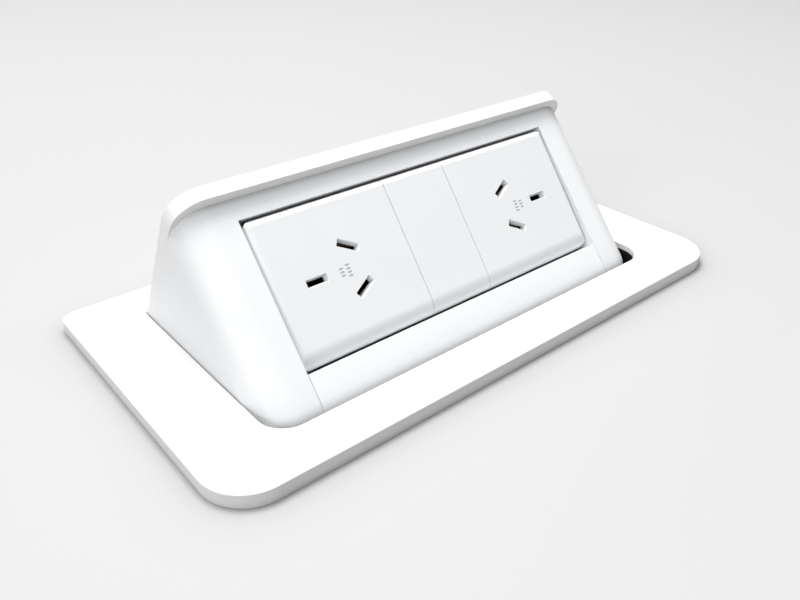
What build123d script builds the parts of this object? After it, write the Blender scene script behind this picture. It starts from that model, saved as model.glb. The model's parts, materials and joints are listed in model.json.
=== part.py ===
from build123d import *
import math
import os

# A pop up desk socket. The row frame has +X along the long side, +Y to the hinge at the rear and
# +Z up, with the origin in the middle of the plate, on the desk surface. Lengths are millimetres.
# The pop-up unit is drawn closed, in a frame with the hinge axis as its origin, and is then swung
# open: in that frame -Y is the lid's front edge and +Z is the lid's top.

# Bezel plate on the desk: its borders round the opening, and its section
plate_side_border = 23.0
plate_front_border = 15.6
plate_rear_border = 15.4
plate_thickness = 4.5
plate_front_radius = 14.5
plate_rear_radius = 5.0
lip_thickness = 2.2
edge_radius = 0.35

# Hinge and travel
hinge_y = 30.6
hinge_depth = 11.5
open_angle = 58.4

# Lid: its borders round the recess, and its section
cap_width = 17.4
lid_border = 22.8
lid_thickness = 4.7
lid_corner_radius = 10.0
lid_rear_crown = 1.2
lid_skirt = 3.0
lid_skirt_drop = 8.0

# Opening in the plate, round the lid
lid_side_gap = 0.3
lid_front_gap = 0.8
opening_rear_reach = 10.0
opening_front_radius = 9.0
opening_rear_radius = 1.0
rear_sweep_gap = 0.6

# Body of the pop-up unit: its drum within the lid's reach, its face within the drum, and the
# face's lean when the unit is open
drum_inset = 1.3
face_inset = 8.7
face_tilt_open = 40.46
curl_radius = 10.0
face_side_radius = 10.9
unit_wall = 2.5
back_offset = 2.5
seam_gap = 0.15
seam_bend_radius = 16.0
seam_lead = 0.2

# Recess that holds the modules
recess_end_gap = 0.3
recess_edge_gap = 0.5
recess_centre = 1.16
recess_depth = 8.0
recess_wall = 2.0

# Modules, in a plane that leans a little less than the face
module_tilt_open = 38.1
module_sink = 0.45
module_drop = 0.15
module_height = 46.4
module_thickness = 9.0
outlet_length = 50.0
blank_length = 25.0
module_seam = 0.08
module_skin = 2.6
module_wall = 1.8
lower_round_length = 5.5
lower_round_depth = 4.0
upper_round_length = 2.5
upper_round_depth = 3.6
end_round_length = 2.2
end_round_depth = 3.0
seam_round = 0.25
module_corner_radius = 3.5

# Outlet: two slanted slots and an upright earth slot round its centre
slot_radius = 7.92
earth_radius = 10.31
slot_turn = 60.0
pin_width = 6.5
pin_thickness = 1.6
mouth_length = 7.4
mouth_width = 2.5
mouth_depth = 1.8
outlet_shift = 0.3

# Contacts and the outlet's base
base_depth = 27.0
base_rear_end = 3.5
base_rear_step = 5.2
base_rear_drop = 2.0
base_gap = 0.3
contact_leaf = 0.6
contact_gap = 1.8
contact_width = 6.8
contact_pocket_gap = 0.4
contact_length = 16.0
contact_start = 4.0
stem_radius = 2.6
stem_length = 13.0
wire_hole_radius = 1.3
wire_hole_inset = 4.0

# Module carrier
carrier_thickness = 2.5
carrier_end = 10.2
carrier_top_inset = 1.4
carrier_bottom_reach = 3.3
carrier_screw_reach = 5.7
carrier_screw_inset = 6.2
carrier_boss_radius = 3.0

# Back cover
cover_thickness = 2.0
cover_wall_y = 12.0
cover_gap = 0.2
cover_screw_inset = 4.0
cover_block_length = 6.0
cover_block_height = 8.0
cover_block_depth = 10.0
cover_screw_far = 57.0
cover_screw_near = 34.0

# Tub
tub_side_gap = 2.3
tub_front_gap = 1.1
tub_rear_gap = 0.7
tub_wall = 2.0
tub_floor = 3.0
tub_below_drum = 7.1
tub_edge_radius = 3.0
rim_gap = 0.1
ear_length = 7.5
ear_width = 13.0
ear_thickness = 2.8
ear_front_y = -30.0
ear_rear_y = 36.0
alcove_margin = 13.0
alcove_y = 16.0
alcove_rise = 29.0

# Ribs that hold the hinge pins, the damper and the closed stops
rib_inset = 23.2
rib_thickness = 3.0
rib_disc_radius = 11.0
rib_strip = 6.0
rib_shoulder = 11.5
rib_bottom = 32.0
pad_thickness = 1.7
pad_gap = 0.3
pad_length = 9.0
pad_width = 6.0
pad_from_top = 3.0
ledge_x = 30.0
ledge_length = 20.0
ledge_reach = 8.5
ledge_thickness = 4.0
open_pad_inset = 2.0

# Hinge pins, bushes and torsion springs
pin_radius = 2.5
pin_head_radius = 4.5
pin_head = 1.6
running_gap = 0.05
hub_radius = 7.5
boss_radius = 11.0
boss_depth = 2.5
bush_radius = 4.0
bush_flange_radius = 6.0
bush_end_gap = 0.2
spring_wire = 1.2
spring_radius = 4.6
spring_length = 9.6
spring_inset = 1.2
spring_fixed_leg = 11.0
spring_leg_drop = 18.0
spring_seat_gap = 0.3
peg_radius = 1.2
peg_reach = 9.0
peg_length = 4.0

# Gears of the damper
sector_pitch_radius = 16.0
sector_teeth = 40
pinion_teeth = 12
pressure_angle = 25.0
backlash = 0.16
tooth_addendum_share = 0.9
tooth_dedendum_share = 1.2
sector_thickness = 3.0
sector_gap = 0.15
pinion_angle = 280.0
sector_margin = 13.0
sector_hub_radius = 11.0
sector_bore_gap = 0.5
sector_screw_radius = 8.3
sector_screw_angles = (62.0, 122.0)
sector_hole_depth = 4.0
fan_steps = 4
flank_steps = 4
damper_radius = 9.0
damper_length = 11.4
damper_shaft_radius = 1.6
damper_shaft_depth = 6.0
damper_ear_reach = 11.5
damper_ear_angle = 25.0
damper_ear_radius = 2.8
damper_ear_thickness = 2.0

# Push latch and its striker
latch_pad = 3.0
latch_length = 24.0
latch_width = 20.0
latch_height = 10.0
latch_front_y = 8.0
latch_wall = 1.5
latch_ear = 7.0
latch_ear_thickness = 2.5
latch_ear_depth = 9.0
plunger_radius = 3.6
plunger_length = 19.0
magnet_radius = 3.2
magnet_thickness = 2.0
magnet_gap = 0.3
plunger_bore_radius = 2.5
plunger_bore_depth = 12.0
latch_spring_wire = 0.6
latch_spring_radius = 1.9
striker_inset = 9.3
striker_height = 8.0
striker_step = 0.9
striker_width = 18.0

# Terminal block under its shelf
terminal_length = 34.0
terminal_depth = 16.0
terminal_height = 16.0
terminal_pitch = 10.0
terminal_y = 32.0
shelf_drop = 42.0
shelf_thickness = 4.0
shelf_margin = 3.0
insert_size = 6.0
insert_length = 14.0
insert_gap = 0.1
insert_wire_radius = 1.8
insert_screw_radius = 1.5
insert_screw_spacing = 8.0
insert_lift = 4.0

# Access cover in the tub's floor
access_length = 56.0
access_width = 31.0
access_thickness = 1.6
access_border = 6.0
access_screw_inset = 3.4
access_boss_radius = 3.0
access_boss_height = 5.0
access_gap = 0.15

# Cable gland in the alcove's ceiling
gland_inset = 37.5
gland_y = 33.2
gland_thread_radius = 8.0
gland_hex_radius = 11.5
gland_flange = 5.5
gland_top_reach = 9.0
gland_spigot = 9.0
gland_bore_radius = 5.0
locknut_height = 4.0
gland_dome_radius = 10.0
gland_dome_end = 4.5
cable_entry_radius = 4.2
seal_length = 6.0
seal_radius = 6.7
seal_bore_radius = 4.7
seal_gap = 0.1

# Desk clamps in T-slots on the tub's ends
clamp_y = 3.0
channel_width = 16.0
channel_depth = 2.9
channel_lip = 1.6
channel_slot = 4.6
channel_top = 12.0
channel_bottom = 68.0
nut_size = 7.0
nut_thickness = 2.5
nut_gap = 0.2
desk_thickness = 25.0
clamp_width = 18.0
clamp_leg = 22.0
clamp_plate = 2.0
clamp_foot_reach = 17.0
clamp_foot_thickness = 2.5
clamp_gap = 0.1
clamp_screw_drop = 13.0
thumb_radius = 6.0
thumb_length = 6.0
thumb_grooves = 18
thumb_groove_radius = 0.6
clamp_screw_radius = 2.0

# Screws: shank radius, head radius, head height; and what holes and cuts add
small_screw = (1.2, 2.3, 1.4)
medium_screw = (1.5, 2.8, 1.8)
driver_slot_width = 0.7
driver_slot_depth = 0.8
thread_gap = 0.05
clearance_gap = 0.2
overrun = 1.0
edge_tolerance = 0.05
quarter_turn = 90.0
thread_length = 3.0
lid_screw_bite = 3.2
lid_screw_inset = 10.2
lid_screw_rows = (-46.0, -27.0)
bezel_screw_bite = 3.0

# Worked out from the sizes above
hinge_z = -hinge_depth
recess_length = 2 * outlet_length + blank_length + 2 * recess_end_gap
recess_height = module_height + 2 * recess_edge_gap
unit_length = recess_length + 2 * cap_width
lid_reach = recess_height + lid_border
drum_radius = lid_reach - drum_inset
face_offset = drum_radius - face_inset
gear_module = 2 * sector_pitch_radius / sector_teeth
latch_x = -(access_length / 2 + latch_width / 2 + latch_ear)
unit_half = unit_length / 2
rib_x = unit_half - rib_inset
lid_screw_x = unit_half - lid_screw_inset
base_rear_length = outlet_length - 2 * base_rear_end
base_rear_height = module_height - 2 * base_rear_step
carrier_length = recess_length + 2 * carrier_end
carrier_top = recess_height / 2 - carrier_top_inset
carrier_bottom = recess_height / 2 + carrier_bottom_reach
carrier_screw_x = recess_length / 2 + carrier_screw_reach
carrier_screw_y = recess_height / 2 - carrier_screw_inset
inner_half = unit_half - unit_wall
lid_top = hinge_depth + plate_thickness
lid_under = lid_top - lid_thickness
lid_rear_radius = lid_top + lid_rear_crown
opening_length = unit_length + 2 * lid_side_gap
opening_front = hinge_y - lid_reach - lid_front_gap
opening_rear = hinge_y + opening_rear_reach
plate_half = opening_length / 2 + plate_side_border
plate_front = opening_front - plate_front_border
plate_rear = opening_rear + plate_rear_border
rim_top = plate_thickness - lip_thickness
tub_half = unit_half + tub_side_gap
tub_front = opening_front - tub_front_gap
tub_rear = hinge_y + lid_rear_radius + tub_rear_gap
tub_inner_depth = drum_radius + tub_below_drum
tub_bottom = -tub_inner_depth - tub_floor
gland_x = tub_half - gland_inset
alcove_x = gland_x - alcove_margin
face_lean = open_angle - face_tilt_open
module_lean = open_angle - module_tilt_open
back_normal = (math.sin(math.radians(open_angle)), -math.cos(math.radians(open_angle)))
striker_bottom = drum_radius - striker_inset
striker_top = striker_bottom - striker_height
striker_reach = (-back_normal[1] * striker_top - back_offset) / back_normal[0] - striker_step
swing_open = Pos(0, hinge_y, hinge_z) * Rot(-open_angle, 0, 0)
at_hinge = Pos(0, hinge_y, hinge_z)


def polar(radius, degrees):
    """A point at a radius and an angle round the origin."""
    turn = math.radians(degrees)
    return radius * math.cos(turn), radius * math.sin(turn)


def turned(point, degrees):
    """A point turned about the origin."""
    turn = math.radians(degrees)
    across, up = point
    return (
        across * math.cos(turn) - up * math.sin(turn),
        across * math.sin(turn) + up * math.cos(turn),
    )


def block(low, high):
    """A box between two opposite corners."""
    size = [top - bottom for bottom, top in zip(low, high)]
    middle = [(top + bottom) / 2 for bottom, top in zip(low, high)]
    return Pos(*middle) * Box(*size)


def rod(radius, start, end, axis="Z"):
    """A round bar along a row axis through the origin, from one place on it to another."""
    turn = {"X": Rot(0, 90, 0), "Y": Rot(-90, 0, 0), "Z": Rot(0, 0, 0)}[axis]
    length = abs(end - start)
    return turn * Pos(0, 0, (start + end) / 2) * Cylinder(radius, length)


def prism(face, low_x, high_x):
    """A flat outline in Y and Z as a solid from one X to another."""
    return extrude(Plane.YZ.offset(low_x) * face, amount=high_x - low_x)


def both_ends(solid):
    """A solid and its mirror image at the other end of the part."""
    return [solid, mirror(solid, about=Plane.YZ)]


def rounded_face(corners):
    """A flat face round the given corners, each an (across, up, radius) of its own."""
    edges = []
    ends = []
    for index, (across, up, radius) in enumerate(corners):
        here = Vector(across, up)
        before = Vector(*corners[index - 1][:2])
        after = Vector(*corners[(index + 1) % len(corners)][:2])
        back = (before - here).normalized()
        on = (after - here).normalized()
        half_turn = math.radians(back.get_angle(on)) / 2
        reach = radius / math.tan(half_turn)
        ends.append((here + back * reach, here + on * reach))
        if radius > 0:
            centre = here + (back + on).normalized() * (radius / math.sin(half_turn))
            middle = centre + (here - centre).normalized() * radius
            edges.append(ThreePointArc(ends[-1][0], middle, ends[-1][1]))
    for index in range(len(corners)):
        edges.append(Line(ends[index - 1][1], ends[index][0]))
    return make_face(edges)


def sharp_face(points):
    """A flat face with sharp corners."""
    return make_face(Polyline(*points, close=True))


def disc_face(radius, centre=(0, 0)):
    """A round flat face."""
    return Pos(centre[0], centre[1], 0) * Circle(radius)


def leaning_plane(lean, origin):
    """A plane across the unit that faces forward and leans forward as it rises."""
    turn = math.radians(lean)
    return Plane(origin=origin, x_dir=(1, 0, 0), z_dir=(0, -math.cos(turn), -math.sin(turn)))


def screw(size, length):
    """A screw along Z with its seat at the origin and its slotted head above it."""
    shank_radius, head_radius, head_height = size
    solid = rod(shank_radius, -length, 0) + rod(head_radius, 0, head_height)
    cut = Box(2 * head_radius + overrun, driver_slot_width, 2 * driver_slot_depth)
    return solid - Pos(0, 0, head_height) * cut


def screw_hole(size, depth, gap=thread_gap):
    """The hole of a screw, from its seat down, with a little of it above the seat."""
    return rod(size[0] + gap, -depth, overrun)


face_turn = math.radians(face_lean)
face_foot = leaning_plane(
    face_lean, (0, -face_offset * math.cos(face_turn), -face_offset * math.sin(face_turn))
)
face_plane = Plane(
    origin=face_foot.from_local_coords(Vector(0, recess_centre, 0)),
    x_dir=face_foot.x_dir,
    z_dir=face_foot.z_dir,
)
module_plane = leaning_plane(
    module_lean, face_plane.from_local_coords(Vector(0, -module_drop, -module_sink))
)
back_plane = Plane(
    origin=(0, back_offset * back_normal[0], back_offset * back_normal[1]),
    x_dir=(1, 0, 0),
    z_dir=(0, back_normal[0], back_normal[1]),
)


def face_point(along, depth=0):
    """(y, z) of a point on the face's section, so far up it and so far behind it."""
    point = face_foot.from_local_coords(Vector(0, along, -depth))
    return point.Y, point.Z


def face_rise_to(height, depth=0):
    """How far up the face's line it meets a height."""
    bottom = face_point(0, depth)[1]
    return (height - bottom) / math.cos(face_turn)


def back_point(along, depth=0):
    """(y, z) of a point on the back plane's section, so far down it from the hinge."""
    point = back_plane.from_local_coords(Vector(0, along, -depth))
    return point.Y, point.Z


def seam_corner(gap, height):
    """Where the lug's front line, upright when the unit is open, meets a height."""
    lead = seam_lead + gap
    rise = (height + lead * math.sin(math.radians(open_angle))) / math.cos(math.radians(open_angle))
    return turned((-lead, rise), open_angle)


def unit_section(inset):
    """The section of the pop-up unit's body, drawn smaller by an inset."""
    far = drum_radius + overrun
    top = lid_under - inset
    face_top = face_point(face_rise_to(top, inset), inset)
    face_low = face_point(-far, inset)
    if inset > 0:
        corners = [face_top, (0, top), (far, top), (far, -far), (-far / 2, -2 * far), face_low]
        bends = [0] * len(corners)
    else:
        hinge_end = turned((-seam_lead - seam_gap, 0), open_angle)
        back_near = back_point(0)
        back_far = back_point(far)
        corners = [face_top, seam_corner(seam_gap, top), hinge_end, back_near, back_far, face_low]
        bends = [0, seam_bend_radius, 0, 0, 0, 0]
    outline = rounded_face([(*point, bend) for point, bend in zip(corners, bends)])
    section = outline & disc_face(drum_radius - inset)
    along = -math.sqrt((drum_radius - inset) ** 2 - (face_offset - inset) ** 2)
    corner = Vector(*face_point(along, inset))
    nearest = section.vertices().sort_by(lambda vertex: (vertex.center() - corner).length)[0]
    section = fillet(nearest, curl_radius - inset)
    if inset > 0:
        return section
    return section - disc_face(hub_radius + bush_end_gap + unit_wall / 2)


def unit_block(inset):
    """The body's solid block with its rounded front corners, drawn smaller by an inset."""
    half = unit_half - inset
    solid = prism(unit_section(inset), -half, half)

    def on_front(edge):
        place = edge.position_at(0.5)
        local = face_foot.to_local_coords(place)
        at_end = abs(abs(place.X) - half) < edge_tolerance
        on_face = local.Z > -inset - edge_tolerance
        on_curl = local.Z > -inset - curl_radius / 2 and local.Y < -curl_radius
        on_drum = math.hypot(place.Y, place.Z) > drum_radius - inset - edge_tolerance
        return at_end and (on_face or on_curl or on_drum)

    return fillet(solid.edges().filter_by(on_front), face_side_radius - inset)


def body_shell():
    """The hollow body with the tunnel of its recess, before the rail is parted from it."""
    shell = unit_block(0) - unit_block(unit_wall)
    tunnel = Box(
        recess_length + 2 * recess_wall,
        recess_height + 2 * recess_wall,
        recess_depth - unit_wall / 2,
    )
    shell += face_plane * Pos(0, 0, -(recess_depth + unit_wall / 2) / 2) * tunnel
    opening = Box(recess_length, recess_height, 2 * recess_depth + overrun)
    return shell - face_plane * opening


def rail_zone(gap):
    """The space of the front rail: below the recess, between its two end walls."""
    half = recess_length / 2 - gap
    bottom = -recess_height / 2 - drum_radius
    zone = block((-half, bottom, -drum_radius / 2), (half, -recess_height / 2 - gap, drum_radius / 4))
    return face_plane * zone


def lid_screw_places():
    """The places of the screws that hold the body to the lid."""
    return [(x, y) for x in (-lid_screw_x, 0, lid_screw_x) for y in lid_screw_rows]


def carrier_places():
    """The places of the carrier's screws, in the modules' plane."""
    return [(x, y) for x in (-carrier_screw_x, carrier_screw_x) for y in (-carrier_screw_y, carrier_screw_y)]


def cover_places():
    """The places of the back cover's screws, on the back plane."""
    across = inner_half - cover_screw_inset
    return [(x, along) for x in (-across, across) for along in (cover_screw_near, cover_screw_far)]


def face_frame(shell):
    """End caps, top band, side walls and the ends of the apron, with the screw bosses inside."""
    frame = shell - rail_zone(0)
    boss = rod(carrier_boss_radius, -module_thickness, -unit_wall / 4)
    for x, y in carrier_places():
        frame += module_plane * Pos(x, y, 0) * boss
    for x, along in cover_places():
        edge = math.copysign(inner_half + unit_wall / 2, x)
        inside = math.copysign(inner_half - cover_block_length, x)
        corner = (min(edge, inside), along - cover_block_height / 2, -cover_thickness - cover_block_depth)
        far = (max(edge, inside), along + cover_block_height / 2, -cover_thickness)
        frame += back_plane * block(corner, far)
        hole = screw_hole(small_screw, cover_thickness + 2 * thread_length)
        frame -= back_plane * Pos(x, along, 0) * hole
    for x, y in carrier_places():
        seat = Pos(x, y, -module_thickness)
        hole = rod(small_screw[0] + thread_gap, -overrun, thread_length)
        frame -= module_plane * seat * hole
    for x, y in lid_screw_places():
        frame -= Pos(x, y, lid_under) * rod(medium_screw[0] + clearance_gap, -unit_wall - overrun, overrun)
    return frame


def lid_cover():
    """The lid with its rear arc, and a hinge lug at each end."""
    arc_end = turned((math.sqrt(lid_rear_radius**2 - lid_skirt_drop**2), -lid_skirt_drop), open_angle)
    inner_radius = lid_rear_radius - lid_skirt
    inner_end = turned((math.sqrt(inner_radius**2 - lid_skirt_drop**2), -lid_skirt_drop), open_angle)
    outer_start = (math.sqrt(lid_rear_radius**2 - lid_top**2), lid_top)
    inner_start = (math.sqrt(inner_radius**2 - lid_under**2), lid_under)
    edges = [
        Line((-lid_reach, lid_under), (-lid_reach, lid_top)),
        Line((-lid_reach, lid_top), outer_start),
        RadiusArc(outer_start, arc_end, lid_rear_radius),
        Line(arc_end, inner_end),
        RadiusArc(inner_end, inner_start, -inner_radius),
        Line(inner_start, (-lid_reach, lid_under)),
    ]
    lid = prism(make_face(edges), -unit_half, unit_half)
    corners = lid.edges().filter_by(Axis.Z).group_by(Axis.Y)[0]
    lid = fillet(corners, lid_corner_radius)
    for x, y in lid_screw_places():
        lid -= Pos(x, y, lid_under) * rod(medium_screw[0] + thread_gap, -overrun, lid_screw_bite)
    lug_front = seam_corner(0, lid_under)
    wedge = [
        (*seam_corner(0, lid_under), seam_bend_radius),
        (*turned((-seam_lead, 0), open_angle), 0),
        (*arc_end, 0),
        (0, lid_top - lid_thickness / 2, 0),
        (lug_front[0] - seam_bend_radius, lid_under + lid_thickness / 2, 0),
        (lug_front[0] - seam_bend_radius, lid_under, 0),
    ]
    lug = prism(rounded_face(wedge) + disc_face(hub_radius), inner_half, unit_half)
    lug += prism(disc_face(boss_radius), inner_half - boss_depth, inner_half)
    lug -= rod(bush_radius, inner_half - boss_depth - overrun, unit_half + overrun, "X")
    for side, solid in zip((1, -1), both_ends(lug)):
        lid += solid
        for angle in sector_screw_angles if side < 0 else ():
            across, up = polar(sector_screw_radius, angle)
            start = -inner_half + boss_depth
            hole = rod(small_screw[0] + thread_gap, start - sector_hole_depth, start + overrun, "X")
            lid -= Pos(0, across, up) * hole
    return lid


def lid_screws():
    """The screws from inside the body up into the lid."""
    fixing = Rot(180, 0, 0) * screw(medium_screw, unit_wall + lid_screw_bite - clearance_gap)
    return [Pos(x, y, lid_under - unit_wall) * fixing for x, y in lid_screw_places()]


def corner_arc(centre, across, deep, start):
    """A quarter of an ellipse that rounds a cover's border down, from a start angle on."""
    return EllipticalCenterArc(centre, across, deep, start, arc_size=quarter_turn)


def module_section(round_low, round_high):
    """A cover's section up the face: crowned, with its lower and upper borders rounded down."""
    half = module_height / 2
    back = -module_thickness
    (low_length, low_depth), (high_length, high_depth) = round_low, round_high
    edges = [
        Line((-half, back), (-half, -low_depth)),
        corner_arc((-half + low_length, -low_depth), low_length, low_depth, quarter_turn),
        Line((-half + low_length, 0), (half - high_length, 0)),
        corner_arc((half - high_length, -high_depth), high_length, high_depth, 0),
        Line((half, -high_depth), (half, back)),
        Line((half, back), (-half, back)),
    ]
    return make_face(edges)


def module_cover(left, right, left_round, right_round, left_corner, right_corner):
    """A module's front cover between two places along X, hollow behind its skin."""
    section = module_section(
        (lower_round_length, lower_round_depth), (upper_round_length, upper_round_depth)
    )
    solid = prism(section, left, right)
    back = -module_thickness
    (left_length, left_depth), (right_length, right_depth) = left_round, right_round
    edges = [
        Line((left, back), (left, -left_depth)),
        corner_arc((left + left_length, -left_depth), left_length, left_depth, quarter_turn),
        Line((left + left_length, 0), (right - right_length, 0)),
        corner_arc((right - right_length, -right_depth), right_length, right_depth, 0),
        Line((right, -right_depth), (right, back)),
        Line((right, back), (left, back)),
    ]
    across = extrude(Plane.XZ * make_face(edges), amount=module_height, both=True)
    half = module_height / 2
    plan = rounded_face(
        [(left, -half, left_corner), (right, -half, right_corner),
         (right, half, right_corner), (left, half, left_corner)]
    )
    solid = solid & across & extrude(Pos(0, 0, back) * plan, amount=module_thickness)
    hollow = block(
        (left + module_wall, -half + module_wall, back - overrun),
        (right - module_wall, half - module_wall, -module_skin),
    )
    return solid - hollow


def slot_frames(side):
    """The places of one outlet's three slots: earth, then the upper and the lower slanted one."""
    centre = side * (blank_length / 2 + outlet_length / 2 - outlet_shift)
    earth = Pos(centre + side * earth_radius, 0, 0)
    upper = Pos(*slot_place(centre, side, 1), 0) * Rot(0, 0, side * (90 - slot_turn))
    lower = Pos(*slot_place(centre, side, -1), 0) * Rot(0, 0, -side * (90 - slot_turn))
    return [earth, upper, lower]


def slot_place(centre, side, up):
    """The centre of a slanted slot."""
    across, rise = polar(slot_radius, slot_turn)
    return centre - side * across, up * rise


def slot_cut():
    """One slot: a bevelled mouth that narrows to the size of a pin, then goes through."""
    mouth = Rectangle(mouth_length, mouth_width)
    throat = Pos(0, 0, -mouth_depth) * Rectangle(pin_width, pin_thickness)
    bevel = loft([mouth, throat])
    through = Pos(0, 0, -mouth_depth) * Box(pin_width, pin_thickness, 2 * module_skin)
    return bevel + through


def outlet_cover(side):
    """The front cover of the outlet at one side."""
    near = side * (blank_length / 2 + module_seam)
    far = side * (blank_length / 2 + outlet_length)
    seam_edge = (seam_round, seam_round)
    end_edge = (end_round_length, end_round_depth)
    if side > 0:
        cover = module_cover(near, far, seam_edge, end_edge, 0, module_corner_radius)
    else:
        cover = module_cover(far, near, end_edge, seam_edge, module_corner_radius, 0)
    for frame in slot_frames(side):
        cover -= frame * slot_cut()
    return cover


def blank_cover():
    """The blank cover between the outlets."""
    half = blank_length / 2 - module_seam
    edge = (seam_round, seam_round)
    return module_cover(-half, half, edge, edge, 0, 0)


def outlet_base(side):
    """An outlet's base: a front part inside its cover, a smaller rear part through the carrier."""
    near = side * (blank_length / 2 + module_seam + module_wall + base_gap)
    far = side * (blank_length / 2 + outlet_length - module_wall - base_gap)
    half = module_height / 2 - module_wall - base_gap
    front = block((min(near, far), -half, -module_thickness), (max(near, far), half, -module_skin))
    middle = (near + far) / 2
    rear_half = base_rear_height / 2
    rear = block(
        (middle - base_rear_length / 2, -rear_half - base_rear_drop, -base_depth),
        (middle + base_rear_length / 2, rear_half - base_rear_drop, -module_thickness),
    )
    base = front + rear
    across = contact_width + 2 * contact_pocket_gap
    thick = contact_gap + 2 * contact_leaf + 2 * contact_pocket_gap
    depth = contact_start + contact_length + contact_leaf
    pocket = block((-across / 2, -thick / 2, -depth), (across / 2, thick / 2, -module_skin + overrun))
    for frame in slot_frames(side):
        base -= frame * pocket
        base -= frame * rod(stem_radius + thread_gap, -base_depth - overrun, -depth + overrun)
    return base


def contact(frame):
    """A contact: two sprung leaves on a bridge, and a stem with a wire hole behind them."""
    half = contact_width / 2
    start = -contact_start
    end = start - contact_length
    inner = contact_gap / 2
    outer = inner + contact_leaf
    leaf = block((-half, inner, end), (half, outer, start))
    solid = leaf + mirror(leaf, about=Plane.XZ)
    solid += block((-half, -outer, end - contact_leaf), (half, outer, end))
    stem_end = end - contact_leaf - stem_length
    solid += rod(stem_radius, stem_end, end - contact_leaf)
    solid -= Pos(0, 0, stem_end + wire_hole_inset) * rod(wire_hole_radius, -half, half, "X")
    solid -= rod(small_screw[0] + thread_gap, stem_end - overrun, stem_end + wire_hole_inset)
    return frame * solid


def terminal_screw(frame):
    """The screw that holds a wire in a contact's stem."""
    stem_end = -contact_start - contact_length - contact_leaf - stem_length
    return frame * Pos(0, 0, stem_end) * Rot(180, 0, 0) * screw(small_screw, thread_length)


def module_carrier():
    """The plate behind the modules, with an opening for each outlet's base."""
    top = -module_thickness
    half = carrier_length / 2
    plate = block((-half, -carrier_bottom, top - carrier_thickness), (half, carrier_top, top))
    half_length = base_rear_length / 2 + base_gap
    half_height = base_rear_height / 2 + base_gap
    for side in (-1, 1):
        middle = side * (blank_length + outlet_length + module_seam) / 2
        low = (middle - half_length, -half_height - base_rear_drop, top - 2 * carrier_thickness)
        high = (middle + half_length, half_height - base_rear_drop, top + overrun)
        plate -= block(low, high)
    for x, y in carrier_places():
        hole = screw_hole(small_screw, 2 * carrier_thickness, clearance_gap)
        plate -= Pos(x, y, top) * hole
    return plate


def carrier_screws():
    """The screws that hold the carrier to the body's bosses."""
    fixing = Rot(180, 0, 0) * screw(small_screw, carrier_thickness + thread_length - clearance_gap)
    depth = module_thickness + carrier_thickness
    return [Pos(x, y, -depth) * fixing for x, y in carrier_places()]


def back_cover():
    """The back cover: a plate along the back plane and a wall up to the lid, near the hinge."""
    far = drum_radius - unit_wall - cover_gap
    outer_low = back_point(far)
    inner_low = back_point(far, cover_thickness)
    bend_outer = back_at(-cover_wall_y, 0)
    bend_inner = back_at(-cover_wall_y - cover_thickness, cover_thickness)
    corners = [
        outer_low,
        bend_outer,
        (-cover_wall_y, lid_under),
        (-cover_wall_y - cover_thickness, lid_under),
        bend_inner,
        inner_low,
    ]
    half = inner_half - cover_gap
    cover = prism(sharp_face(corners), -half, half)
    lower_corners = cover.edges().filter_by(Plane.YZ).sort_by(Axis.Z)[:2]
    cover = fillet(lower_corners, face_side_radius)
    for x, along in cover_places():
        hole = screw_hole(small_screw, 2 * cover_thickness, clearance_gap)
        cover -= back_plane * Pos(x, along, 0) * hole
    return cover


def back_at(y, depth):
    """The point at one Y on the back plane's section, or on its inner side."""
    offset = back_offset - depth
    return y, (back_normal[0] * y - offset) / -back_normal[1]


def cover_screws():
    """The screws of the back cover."""
    fixing = screw(small_screw, cover_thickness + 2 * thread_length - clearance_gap)
    return [back_plane * Pos(x, along, 0) * fixing for x, along in cover_places()]


def striker():
    """The steel striker on the back cover, upright when the unit is closed."""
    low = -striker_bottom
    high = -striker_top
    corners = [back_at_height(low), (-striker_reach, low), (-striker_reach, high), back_at_height(high)]
    half = striker_width / 2
    return prism(sharp_face(corners), latch_x - half, latch_x + half)


def back_at_height(z):
    """The point at one height on the back plane's section."""
    return (back_offset - back_normal[1] * z) / back_normal[0], z


def gear_outline(teeth, centre_angle):
    """An involute gear's outline with one tooth centred at an angle."""
    pitch = gear_module * teeth / 2
    base = pitch * math.cos(math.radians(pressure_angle))
    tip = pitch + tooth_addendum_share * gear_module
    root = pitch - tooth_dedendum_share * gear_module
    half_at_pitch = (math.pi * gear_module / 2 - backlash) / 2 / pitch

    def involute(radius):
        angle = math.acos(min(base / radius, 1))
        return math.tan(angle) - angle

    def half_angle(radius):
        return math.degrees(half_at_pitch + involute(pitch) - involute(max(radius, base)))

    start = max(base, root)
    radii = [start + (tip - start) * step / flank_steps for step in range(flank_steps + 1)]
    points = []
    for tooth in range(teeth):
        middle = centre_angle + 360 * tooth / teeth
        points.append(polar(root, middle - half_angle(start)))
        points += [polar(radius, middle - half_angle(radius)) for radius in radii if radius > root]
        points += [polar(radius, middle + half_angle(radius)) for radius in reversed(radii) if radius > root]
        points.append(polar(root, middle + half_angle(start)))
    return sharp_face([point for index, point in enumerate(points) if point != points[index - 1]])


def gear_sector():
    """The toothed sector on the left lug, round the hinge axis."""
    first = pinion_angle - sector_margin
    last = pinion_angle + open_angle + sector_margin
    far = sector_teeth * gear_module
    fan_angles = [first + (last - first) * step / fan_steps for step in range(fan_steps + 1)]
    fan = sharp_face([(0, 0)] + [polar(far, angle) for angle in fan_angles])
    outline = (gear_outline(sector_teeth, pinion_angle + open_angle) & fan) + disc_face(sector_hub_radius)
    outer = -inner_half + boss_depth
    sector = prism(outline, outer, outer + sector_thickness)
    sector -= rod(pin_radius + sector_bore_gap, outer - overrun, outer + sector_thickness + overrun, "X")
    for angle in sector_screw_angles:
        across, up = polar(sector_screw_radius, angle)
        hole = rod(small_screw[0] + clearance_gap, outer - overrun, outer + sector_thickness + overrun, "X")
        sector -= Pos(0, across, up) * hole
    return sector


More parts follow.
